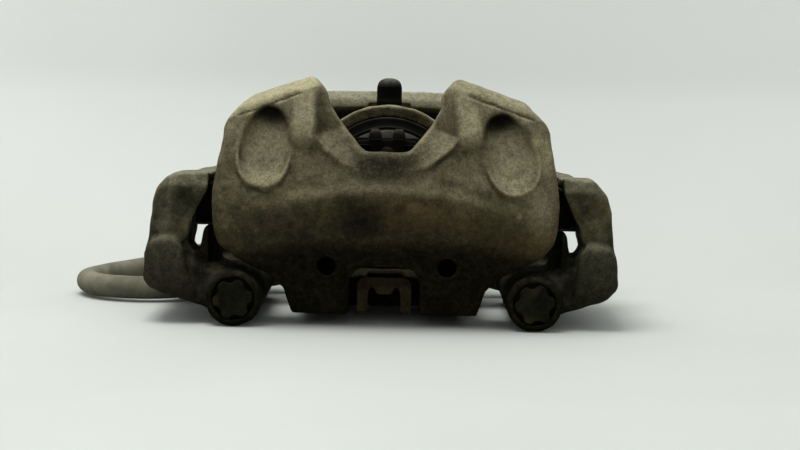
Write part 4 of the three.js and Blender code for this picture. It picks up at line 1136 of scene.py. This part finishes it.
def plate_material():
    """Backing plate: worn black paint, rusting at its edges; its colours are darkened further as painted shade, for
    the deep shade between the pads.
    """
    n = Nodes("m_plate")
    mid = n.noise(0.11, 5, 0.65, 0.4, seed=21)
    fine = n.noise(0.9, 5, 0.7, seed=22)
    edge = n.ramp(n.geo.outputs["Pointiness"], 0.50, 0.56)
    # near-black paint and rust colours, partly painted shade
    col = n.mix(n.ramp(fine, 0.3, 0.7), lin(12, 12, 11), lin(22, 21, 19))
    r = n.m("MAXIMUM", n.ramp(mid, 0.56, 0.72, 0.0, 0.6), n.m("MULTIPLY", edge, 0.4))
    col = n.mix(r, col, n.mix(n.ramp(fine, 0.35, 0.65), lin(19, 15, 11), lin(32, 25, 18)))
    up = n.ramp(n.up, 0.1, 0.95)
    col = n.mix(n.m("MULTIPLY", up, 0.045), col, lin(84, 80, 66))
    # painted shade in hollows, from ambient occlusion
    col = n.mix(n.ramp(n.ao(8.0), 0.15, 0.98, 0.97, 0.0), col, lin(7, 7, 6))
    return n.done(col, n.ramp(fine, 0.3, 0.7, 0.6, 0.85), 0.0, n.bump(n.m("ADD", fine, n.m("MULTIPLY", r, 0.5)), 0.22, 0.7), 0.0)


DUST = lin(150, 147, 124)
M = {
    "housing": cast_iron("m_housing", lin(72, 66, 45), lin(222, 213, 176), lin(94, 76, 46), 0.46, 0.8, 0.0, 1.0),
    "bracket": cast_iron("m_bracket", lin(64, 63, 44), lin(204, 201, 172), lin(80, 65, 42), 0.38, 0.5, 40.0, 1.0),
    "plug": cast_iron("m_plug", lin(21, 22, 13), lin(46, 46, 34), lin(34, 30, 19), 0.35, 0.3, 71.0, 0.7, False),
    "steel": metal("m_steel", lin(168, 166, 160), lin(52, 48, 40), 0.55, 0.34, (1, 6, 1), 0.0, 0.0),
    # piston: heavy grime, partly painted shade inside the bore
    "piston": metal("m_piston", lin(96, 94, 90), lin(18, 17, 15), 0.8, 0.36, (4, 0.6, 4), 0.15, 7.0),
    "zinc": metal("m_zinc", lin(158, 152, 132), lin(62, 57, 44), 0.75, 0.42, None, 0.55, 12.0, 0.7),
    # stainless: shims and clips coloured near black with heavy grime, partly painted shade where they sit between the
    # pads and in the pad guides
    "stainless": metal("m_stainless", lin(27, 25, 21), lin(10, 9, 8), 0.95, 0.50, (1, 5, 5), 0.15, 19.0, 0.40, 0.25),
    # clip: near black, partly painted shade in the notch; highlights on the prong tops are painted
    "clip": metal("m_clip", lin(11, 11, 10), lin(6, 6, 6), 0.60, 0.50, (1, 1, 4), 0.0, 25.0, 0.05, 0.32),
    # spring and rivet: very dark rusty iron, partly painted shade in the window and the notch
    "spring": cast_iron("m_spring", lin(34, 27, 16), lin(62, 54, 38), lin(54, 38, 22), 0.25, 0.9, 33.0, 0.5, False),
    "copper": metal("m_copper", lin(176, 116, 84), lin(58, 42, 32), 0.55, 0.38, None, 0.0, 44.0),
    "rubber": rubber("m_rubber", lin(24, 24, 22), lin(80, 78, 68), 0.35, 3.0),
    # cap: pale up-facing colour is dust and a painted highlight along its rounded top
    "cap": rubber("m_cap", lin(9, 9, 6), lin(150, 148, 134), 0.46, 8.0, 0.7),
    # boot: near-black rubber; its pale up-facing colour paints a thin highlight along the lip's top edge
    "boot": rubber("m_boot", lin(21, 22, 20), lin(104, 103, 92), 0.42, 15.0),
    "hose": hose_material(),
    "lining": lining_material(),
    "plate": plate_material(),
}


def put(ob, node, material, ride=True):
    """Stands a finished piece in for its CAD node, on that node's body."""
    ob.data.materials.clear()
    ob.data.materials.append(M[material])
    if ride:
        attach(ob, BODY[node])
    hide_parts(node)
    return ob


# ------------------------------------------------------------------ the pieces
put(build_housing(), "caliper_housing", "housing")
put(build_carrier(), "carrier_bracket", "bracket")

DISC_Z, DISC_R = 166.0, 150.0


def arc_z(x, clear):
    return DISC_Z - math.sqrt((DISC_R + clear) ** 2 - x * x)


plate = both([(x, arc_z(x, -1.6)) for x in (2, 8, 14, 20, 26, 32, 38, 44, 50, 56, 61, 65)]
             + [(67.6, 34.6), (69.2, 36), (76.9, 36), (76.9, 50.5), (69.4, 50.5), (68.4, 53.6), (66.6, 57.8), (64, 61.6), (60, 64.6), (52, 67.4), (42, 68.2), (30, 68.4)])
lining = both([(x, arc_z(x, -3)) for x in (2, 8, 15, 22, 29, 36, 43, 50, 57)] + [(62.4, 34.2), (63, 40), (62, 50), (55, 61.5), (48, 63.6), (38, 64.5)])
shim = both([(14, 22), (44, 27), (58.4, 35), (60, 37), (60, 49), (59, 52.2), (52, 60), (46, 62), (30, 63.4)])
OB, IB = -24.5, 24.5


def simple_lining(name, y0, y1):
    """Lining block with its two halves parted by a 2.6 mm slot that leaves a 3 mm root."""
    half_pts = [(1.3, arc_z(1.3, -3))] + [(x, z) for x, z in lining if x > 1.4] + [(1.3, 64.5)]
    s = 1 if abs(y1) < abs(y0) else -1
    back, front = (y0, y1) if s > 0 else (y1, y0)
    root = back + (3.0 if front > back else -3.0)
    parts = [prism(name + "_root", lining, min(back, root), max(back, root), bevel=0.2)]
    for k in (-1, 1):
        pts = [(k * x, z) for x, z in half_pts]
        parts.append(prism(name + ("a" if k < 0 else "b"), pts, min(root, front), max(root, front), bevel=0.7))
    return join(name, *parts)


put(simple_lining("v_outboard_lining", OB + 0.3, -13.5), "outboard_lining", "lining")
put(simple_lining("v_inboard_lining", 13.5, IB - 0.3), "inboard_lining", "lining")
put(prism("v_outboard_backplate", round_outline(plate, 0.8, 2), OB - 5.5, OB, [circle(0, 64.6, 2.3, 20)], 0.45), "outboard_backplate", "plate")
put(prism("v_inboard_backplate", round_outline(plate, 0.8, 2), IB, IB + 5.5, (), 0.45), "inboard_backplate", "plate")
put(prism("v_outboard_shim", [p for p in round_outline(shim, 1.5, 3)], -31.1, -30.3, [[(-9.5, 56), (9.5, 56), (9.5, 62.6), (-9.5, 62.6)]], 0.12), "outboard_shim", "stainless")
put(prism("v_inboard_shim", [p for p in round_outline(shim, 1.5, 3)], 30.3, 31.1, [circle(0, 42.9, 17.9, 48)], 0.12), "inboard_shim", "stainless")


# outboard clip: riveted foot and two prongs that curl towards the viewer
def strip_x(name, path, x0, x1, thick, bevel=0.18):
    """A bent strip: a path of [y, z] pairs given thickness, then width along X."""
    p = np.array(catmull([(y, z, 0) for y, z in path], 6))[:, :2]
    t = np.gradient(p, axis=0)
    t /= np.linalg.norm(t, axis=1)[:, None]
    nrm = np.stack([-t[:, 1], t[:, 0]], 1)
    a, b = p + nrm * thick / 2, p - nrm * thick / 2
    loop = list(map(tuple, a)) + list(map(tuple, b[::-1]))
    n = len(loop)
    verts = [(x0, y, z) for y, z in loop] + [(x1, y, z) for y, z in loop]
    m = len(p)
    faces = []
    for i in range(n):
        j = (i + 1) % n
        faces.append((i, j, n + j, n + i))
    for off, flip in ((0, True), (n, False)):
        for i in range(m - 1):
            f = (off + i, off + i + 1, off + n - 2 - i, off + n - 1 - i)
            faces.append(f[::-1] if flip else f)
    ob = mesh_object(name, verts, faces)
    fix_normals(ob)
    return soften(ob, bevel, 2, 40)


def outboard_clip():
    foot = prism("c0", both([(7.0, 60.2), (7.0, 68.6), (11.9, 69.1), (11.9, 70.1), (6.4, 70.6)]), -31.1, -30.3, [circle(0, 64.6, 2.3, 20)], 0.15)
    parts = [foot]
    for k in (-1, 1):
        a, b = sorted((k * 2.2, k * 7.4))
        ear = strip_x("c%d" % k, [(-30.75, 68.0), (-30.9, 70.6), (-31.1, 72.6), (-31.9, 74.1), (-33.3, 74.7), (-34.7, 74.0), (-35.3, 72.3), (-35.0, 70.8)], a, b, 1.0, 0.42)
        for v in ear.data.vertices:
            # the ear's end is rounded off towards its top
            q = min(max((v.co.z / MM - 71.8) / 3.9, 0.0), 0.86)
            v.co.x = (k * 4.8 + (v.co.x / MM - k * 4.8) * math.sqrt(1 - q * q)) * MM
        parts.append(ear)
    return join("v_outboard_pad_clip", *parts)


put(outboard_clip(), "outboard_pad_clip", "clip")
put(lathe("v_outboard_clip_rivet", [(0, -25.2), (1.7, -25.2), (2.0, -25.5), (2.0, -31.3), (3.1, -31.4), (3.35, -31.9), (3.1, -32.7), (2.2, -33.3), (1.0, -33.55), (0, -33.6)],
          (0, 0, 64.6), "Y", 40, False), "outboard_clip_rivet", "spring")


def piston_clip():
    parts = [lathe("pc", [(0.0, 30.3), (16.3, 30.3), (16.6, 30.5), (16.6, 31.0), (16.3, 31.2), (6.4, 31.2), (5.6, 30.9), (0, 30.9)], (0, 0, AXIS_Z), "Y", 64, False)]
    for i in range(3):
        a = i * 2 * math.pi / 3
        s = strip_x("pl%d" % i, [(30.7, 14.6), (30.75, 16.4), (31.6, 17.25), (34, 17.3), (38, 17.6), (41, 17.5), (43, 16.6)], -2.5, 2.5, 0.8, 0.15)
        rot = Matrix.Rotation(a, 4, "Y")
        s.data.transform(rot)
        s.data.transform(Matrix.Translation((0, 0, AXIS_Z * MM)))
        parts.append(s)
    return join("v_inboard_piston_clip", *parts)


put(piston_clip(), "inboard_piston_clip", "stainless")

for k, side in ((-1, "left"), (1, "right")):
    for which, y0, y1 in (("outboard", -34, -15.5), ("inboard", 15.5, 31)):
        u = [(70.9, 51.6), (78.1, 51.6), (78.1, 34.9), (70.0, 34.9), (70.0, 35.5), (77.5, 35.5), (77.5, 51.0), (70.9, 51.0)]
        u = [(k * x, z) for x, z in u]
        put(prism("v_abutment_clip_%s_%s" % (which, side), u, y0, y1, (), 0.14), "abutment_clip_%s_%s" % (which, side), "stainless")
    # lobed plug in the guide bore's mouth
    cx = k * PIN_X
    lobes = []
    for i in range(144):
        a = 2 * math.pi * i / 144
        c = math.cos(6 * a)
        r = 7.28 + 0.82 * math.tanh(2.0 * (c + 0.15))
        lobes.append((cx + r * math.cos(a + 0.15), PIN_Z + r * math.sin(a + 0.15)))
    head = prism("pg", lobes, -48.3, -44, (), 0.55, segments=3)
    dish = lathe("pd", [(0, -47.2), (3.0, -47.3), (4.4, -48.1), (5.2, -48.35), (5.9, -48.2), (6.0, -47.0), (0, -46.4)], (cx, 0, PIN_Z), "Y", 48, False)
    collar = lathe("pk", [(0, -44.6), (7.9, -44.6), (8.1, -44.4), (8.1, -41.6), (7.9, -41.4), (0, -41.4)], (cx, 0, PIN_Z), "Y", 56, False)
    put(join("v_guide_bore_plug_" + side, head, dish, collar), "guide_bore_plug_" + side, "plug")
    pin = lathe("gp", [(0, -31), (3.4, -31), (4.6, -30.2), (5.0, -29), (5.0, 41.5), (4.35, 42), (4.3, 42.2), (4.3, 44.0), (4.4, 44.3), (5.0, 44.7), (5.0, 47.2), (0, 47.2)], (cx, 0, PIN_Z), "Y", 56, False)
    hexa = prism("gh", polygon(cx, PIN_Z, 7.55), 47.0, 51.7, (), 0.5)
    put(join("v_guide_pin_" + side, pin, hexa), "guide_pin_" + side, "steel")
    shank = lathe("bs", [(0, 52), (3.6, 52), (4.0, 52.4), (4.0, 63), (0, 63)], (cx, 0, PIN_Z), "Y", 40, False)
    flange = lathe("bf", [(0, 62.3), (8.3, 62.3), (8.6, 62.6), (8.5, 63.2), (7.3, 64.3), (0, 64.3)], (cx, 0, PIN_Z), "Y", 56, False)
    hh = prism("bh", polygon(cx, PIN_Z, 7.45, 6, 0.3), 63.8, 69.4, (), 0.7, segments=3)
    put(join("v_guide_pin_bolt_" + side, shank, flange, hh), "guide_pin_bolt_" + side, "zinc")
    boot = lathe("v_guide_pin_boot_" + side, [
        (5.5, 35.4), (7.1, 35.4), (7.15, 37.6), (7.4, 38.1), (8.4, 38.45), (8.85, 39.0), (8.75, 39.7), (7.9, 40.2), (7.35, 40.5), (7.9, 40.8),
        (8.6, 41.2), (8.7, 41.8), (8.2, 42.3), (7.3, 42.7), (7.1, 43.1), (7.1, 44.0), (6.8, 44.2), (4.7, 44.2), (4.6, 43.9), (4.6, 42.8),
        (5.0, 42.5), (5.9, 42.2), (6.7, 41.7), (6.8, 41.3), (6.3, 40.9), (5.9, 40.5), (6.3, 40.0), (7.0, 39.5), (7.0, 39.1), (6.3, 38.8), (5.6, 38.3), (5.5, 37.6)],
        (cx, 0, PIN_Z), "Y", 64)
    put(boot, "guide_pin_boot_" + side, "rubber", ride=False)
    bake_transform(boot)

# rusty arched spring end in the window
arch = [(-11, 1.2), (-6.7, 1.2), (-6.6, 8.6), (-5.9, 10.6), (-4.9, 11.4), (-3.9, 10.4), (-3.2, 9.0), (-2.2, 8.4), (2.2, 8.4), (3.2, 9.0), (3.9, 10.4), (4.9, 11.4),
        (5.9, 10.6), (6.6, 8.6), (6.7, 1.2), (11, 1.2), (11, 12.0), (10.4, 14.0), (8.6, 15.3), (-8.6, 15.3), (-10.4, 14.0), (-11, 12.0)]
bow = prism("bs1", round_outline(arch, 0.9, 3), -39.5, -37.8, (), 0.5, segments=3)
leaf = strip_x("bs2", [(-37.9, 13.6), (-34, 13.5), (-28, 13.3), (-20, 13.3), (-12, 13.4), (-6.2, 13.5)], -7.4, 7.4, 1.1, 0.25)
put(join("v_bridge_spring", bow, leaf), "bridge_spring", "spring")

# piston, seal and dust boot
put(lathe("v_piston", [
    (19.5, 32.0), (20.0, 31.5), (26.0, 31.5), (26.6, 31.7), (27.0, 32.3), (27.0, 33.7), (26.8, 33.9), (25.6, 34.0), (25.4, 34.2), (25.4, 35.9), (25.6, 36.1), (26.8, 36.3),
    (27.0, 36.5), (27.0, 73.2), (26.2, 74.6), (25.6, 74.8), (0, 74.8), (0, 64), (16.6, 64), (18.4, 63.4), (19.3, 62.0), (19.5, 60.4)], (0, 0, AXIS_Z), "Y", 112), "piston", "piston")
put(lathe("v_piston_seal", [(27.12, 39.5), (27.3, 39.3), (29.9, 39.3), (30.1, 39.5), (30.1, 42.1), (29.9, 42.3), (27.3, 42.3), (27.12, 42.1)], (0, 0, AXIS_Z), "Y", 96), "piston_seal", "rubber")
lip = lathe("v_dust_boot_lip", [(30.6, 33.0), (31.2, 32.5), (32.0, 32.6), (32.3, 33.1), (32.3, 35.9), (32.0, 36.2), (30.6, 36.2), (30.3, 35.9), (30.3, 33.6)], (0, 0, AXIS_Z), "Y", 112)
put(lip, "piston_dust_boot", "boot")
fold = lathe("v_dust_boot_fold", [(31.5, 33.1), (31.2, 32.5), (30.7, 32.9), (30.2, 32.4), (29.7, 32.7), (29.2, 32.1), (28.7, 32.3), (28.3, 31.7),
                                  (27.8, 31.5), (27.7, 32.0), (28.2, 32.4), (28.6, 32.9), (29.1, 32.7), (29.6, 33.2), (30.1, 33.0), (30.6, 33.5), (31.1, 33.5)], (0, 0, AXIS_Z), "Y", 112)
put(fold, "piston_dust_boot", "rubber", ride=False)
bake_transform(fold)
grip = lathe("v_dust_boot_grip", [(27.15, 31.8), (27.5, 31.4), (28.2, 31.5), (28.5, 31.9), (28.0, 33.6), (27.5, 35.2), (27.1, 35.7), (25.8, 35.7), (25.7, 35.4), (25.7, 34.5), (26.0, 34.3), (27.1, 34.25)],
             (0, 0, AXIS_Z), "Y", 112)
put(grip, "piston_dust_boot", "rubber", ride=False)
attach(grip, "piston")

# bleed screw and rubber cap
screw = lathe("sc", [(0, 73.3), (1.4, 73.3), (1.8, 73.7), (3.9, 76), (4.0, 76.3), (3.7, 76.7), (4.0, 77.1), (3.7, 77.5), (4.0, 77.9), (3.7, 78.3), (4.0, 78.7), (3.7, 79.1), (4.0, 79.5),
                     (3.7, 79.9), (4.0, 80.3), (4.0, 81.8), (0, 81.8)], (0, 47, 0), "Z", 40, False)
shexa = prism("sh", [(4.45 * math.cos(i * math.pi / 3), 47 + 4.45 * math.sin(i * math.pi / 3)) for i in range(6)], 81.6, 86, (), 0.4, "Z")
tip = lathe("st", [(0.9, 85.8), (2.7, 85.8), (2.9, 86.1), (2.9, 87.4), (2.7, 87.9), (2.3, 88.3), (2.3, 89.3), (2.7, 89.8), (2.9, 90.1), (2.8, 90.6), (2.4, 91.3), (1.1, 91.4), (0.9, 91.2)], (0, 47, 0), "Z", 40)
put(join("v_bleed_screw", screw, shexa, tip), "bleed_screw", "zinc")
put(lathe("v_bleed_screw_cap", [
    (4.85, 81.5), (5.0, 81.4), (5.55, 81.4), (5.7, 81.6), (5.7, 84.0), (5.58, 84.3), (5.6, 89.3), (5.5, 90.4), (5.15, 91.7), (4.5, 92.8), (3.6, 93.5), (2.4, 94.0), (1.2, 94.2), (0, 94.2),
    (0, 91.8), (2.2, 91.8), (3.0, 91.4), (3.3, 90.8), (3.3, 87.4), (3.6, 87.0), (4.7, 86.5), (4.85, 86.3)], (0, 47, 0), "Z", 72), "bleed_screw_cap", "cap")

# hose and its fittings
IX, IY, IZ = -14.0, 85.0, 36.0
put(lathe("v_banjo_washer_inner", [(5.4, IY + 0.3), (5.6, IY + 0.3), (7.9, IY + 0.3), (8.0, IY + 0.45), (8.0, IY + 1.2), (7.9, IY + 1.3), (5.5, IY + 1.3), (5.4, IY + 1.2)], (IX, 0, IZ), "Y", 56), "banjo_washer_inner", "copper")
put(lathe("v_banjo_washer_outer", [(5.4, IY + 12.1), (7.9, IY + 12.1), (8.0, IY + 12.3), (8.0, IY + 13.0), (7.9, IY + 13.1), (5.5, IY + 13.1), (5.4, IY + 13.0)], (IX, 0, IZ), "Y", 56), "banjo_washer_outer", "copper")
bolt = lathe("bb", [(0, IY - 10), (4.2, IY - 10), (4.8, IY - 9.3), (4.8, IY + 14), (0, IY + 14)], (IX, 0, IZ), "Y", 40, False)
bhead = prism("bb2", polygon(IX, IZ, 8.05, 6, 0.2), IY + 13.4, IY + 19.9, (), 0.8, segments=3)
put(join("v_banjo_bolt", bolt, bhead), "banjo_bolt", "zinc")
D = Vector((-0.93, 0.02, -0.36)).normalized()
C0 = Vector((IX, IY + 6.7, IZ))


def along_neck(name, profile, n=56):
    """Turns [radius, distance] pairs about the line the hose leaves on."""
    ob = lathe(name, profile, (0, 0, 0), "Z", n, profile[0][0] > 1e-6)
    ob.data.transform(Vector((0, 0, 1)).rotation_difference(D).to_matrix().to_4x4())
    ob.data.transform(Matrix.Translation(C0 * MM))
    return ob


eye = lathe("be", [(5.3, IY + 1.8), (5.6, IY + 1.6), (8.0, IY + 1.6), (8.6, IY + 2.3), (8.6, IY + 11.1), (8.0, IY + 11.8), (5.6, IY + 11.8), (5.3, IY + 11.6)], (IX, 0, IZ), "Y", 64)
neck = along_neck("bn", [(0, 7.6), (4.2, 7.6), (4.2, 14.6), (4.0, 15.2), (4.0, 16.0), (0, 16.0)])
put(join("v_banjo_fitting", eye, neck), "banjo_fitting", "zinc")
put(along_neck("v_hose_ferrule_caliper", [(0, 16.3), (5.6, 16.3), (6.3, 17.0), (6.4, 18.0), (6.4, 20.4), (5.95, 21.0), (5.95, 23.4), (6.4, 24.0), (6.4, 26.4), (5.95, 27.0), (5.95, 29.4),
                                           (6.4, 30.0), (6.4, 34.2), (6.1, 34.9), (5.3, 35.0), (0, 35.0)]), "hose_ferrule_caliper", "zinc")
s0 = C0 + D * 35.3
s1 = s0 + D * 8
HOSE = [tuple(s0), tuple(s1), (-84, 91, 9.5), (-110, 80, 3.2), (-128, 63, 1.3), (-134, 42, 1.1), (-125, 26, 1.1), (-108, 20, 1.1), (-93.5, 24.5, 1.1), (-86, 38, 1.1), (-84.2, 46, 1.1), (-84, 52, 1.1)]
put(sweep("v_brake_hose", catmull(HOSE, 16), 5.0, 48), "brake_hose", "hose")
put(lathe("v_hose_ferrule_end", [(0, 52.4), (5.2, 52.4), (5.8, 52.8), (6.0, 53.4), (6.0, 56.0), (5.6, 56.6), (5.6, 59.0), (6.0, 59.6), (6.0, 62.0), (5.6, 62.6), (5.6, 65.0), (6.0, 65.6), (6.0, 67.6), (5.6, 68.0), (0, 68.0)],
          (-84, 0, 2.1), "Y", 56, False), "hose_ferrule_end", "zinc")
nut = prism("un", polygon(-84, 3.0, 7.9), 68.3, 76.3, (), 0.7, segments=3)
snout = lathe("us", [(3.6, 76.0), (5.6, 76.0), (5.6, 79.7), (5.3, 80.0), (3.9, 80.0), (3.6, 79.7)], (-84, 0, 3.0), "Y", 48)
put(join("v_hose_end_union", nut, snout), "hose_end_union", "zinc")

# ------------------------------------------------------------------ floor, backdrop, light, camera
GROUND = float(CAD_LO[2])


W = 6.0
WALL_Y, BEND = 0.205, 0.10


def sweep_backdrop():
    """Pale paper that runs up behind the object; from behind it lets the view through."""
    prof = [(WALL_Y - BEND + BEND * math.sin(a), GROUND + BEND * (1 - math.cos(a))) for a in [i * math.pi / 2 / 24 for i in range(25)]] + [(WALL_Y, 5.0)]
    verts = [(x, y, z) for x in (-W, W) for y, z in prof]
    n = len(prof)
    me = bpy.data.meshes.new("backdrop")
    me.from_pydata(verts, [], [(i, n + i, n + i + 1, i + 1) for i in range(n - 1)])
    me.shade_smooth()
    ob = bpy.data.objects.new("backdrop", me)
    bpy.context.scene.collection.objects.link(ob)
    return ob


def paper(name, one_sided):
    n = Nodes(name)
    soft_ = n.noise(0.004, 3, 0.5, seed=5)
    fibre = n.noise(0.7, 4, 0.6, seed=9)
    a, b = (lin(246, 248, 246), lin(240, 243, 240)) if one_sided else (lin(215, 218, 213), lin(209, 212, 207))
    col = n.mix(n.ramp(soft_, 0.3, 0.7), a, b)
    if one_sided:
        col = n.mix(n.ramp(n.pz, -5.0, 80.0, smooth=False), n.mix(n.ramp(soft_, 0.3, 0.7), lin(215, 218, 213), lin(209, 212, 207)), col)
    n.done(col, 0.92, 0.0, n.bump(fibre, 0.12, 0.35), 0.08)
    if one_sided:
        tr = n.t.nodes.new("ShaderNodeBsdfTransparent")
        mx = n.t.nodes.new("ShaderNodeMixShader")
        n.t.links.new(n.geo.outputs["Backfacing"], mx.inputs[0])
        n.t.links.new(n.b.outputs[0], mx.inputs[1])
        n.t.links.new(tr.outputs[0], mx.inputs[2])
        n.t.links.new(mx.outputs[0], n.out.inputs[0])
    return n.mat


fme = bpy.data.meshes.new("floor")
fme.from_pydata([(-W, -W, GROUND), (W, -W, GROUND), (W, W, GROUND), (-W, W, GROUND)], [], [(0, 1, 2, 3)])
floor = bpy.data.objects.new("floor", fme)
bpy.context.scene.collection.objects.link(floor)
fme.materials.append(paper("m_floor", False))
wall = sweep_backdrop()
wall.data.materials.append(paper("m_backdrop", True))
world = bpy.data.worlds.new("studio")
bpy.context.scene.world = world
world.use_nodes = True
wt = world.node_tree
bg = wt.nodes["Background"]
bg.inputs[0].default_value = lin(228, 230, 230)
bg.inputs[1].default_value = 0.70


def area(name, loc, target, size, power, color=(1, 1, 1)):
    l = bpy.data.lights.new(name, "AREA")
    l.shape = "DISK"
    l.size = size
    l.energy = power
    l.color = color
    ob = bpy.data.objects.new(name, l)
    bpy.context.scene.collection.objects.link(ob)
    ob.location = loc
    ob.rotation_mode = "QUATERNION"
    ob.rotation_quaternion = (Vector(target) - Vector(loc)).to_track_quat("-Z", "Y")
    return ob


area("key", (-0.30, -0.16, 1.22), (0, 0, 0.04), 0.75, 9.5, (1.0, 0.998, 0.985))

scene = bpy.context.scene
scene.view_settings.view_transform = "Standard"
scene.view_settings.look = "None"
cam_data = bpy.data.cameras.new("camera")
cam = bpy.data.objects.new("camera", cam_data)
scene.collection.objects.link(cam)
scene.camera = cam
cam_data.sensor_width = 36.0
cam_data.lens = 36.0 * 1818.0 / 800.0
cam_data.clip_start, cam_data.clip_end = 0.02, 50.0
PITCH, ROLL = math.atan((225 - 46) / 1818.0), math.radians(-1.15)
cam.location = (0.0059, -0.770, 0.1087)
cam.rotation_mode = "QUATERNION"
look = Matrix.Rotation(math.pi / 2 - PITCH, 4, "X") @ Matrix.Rotation(-ROLL, 4, "Z")
cam.rotation_quaternion = look.to_quaternion()
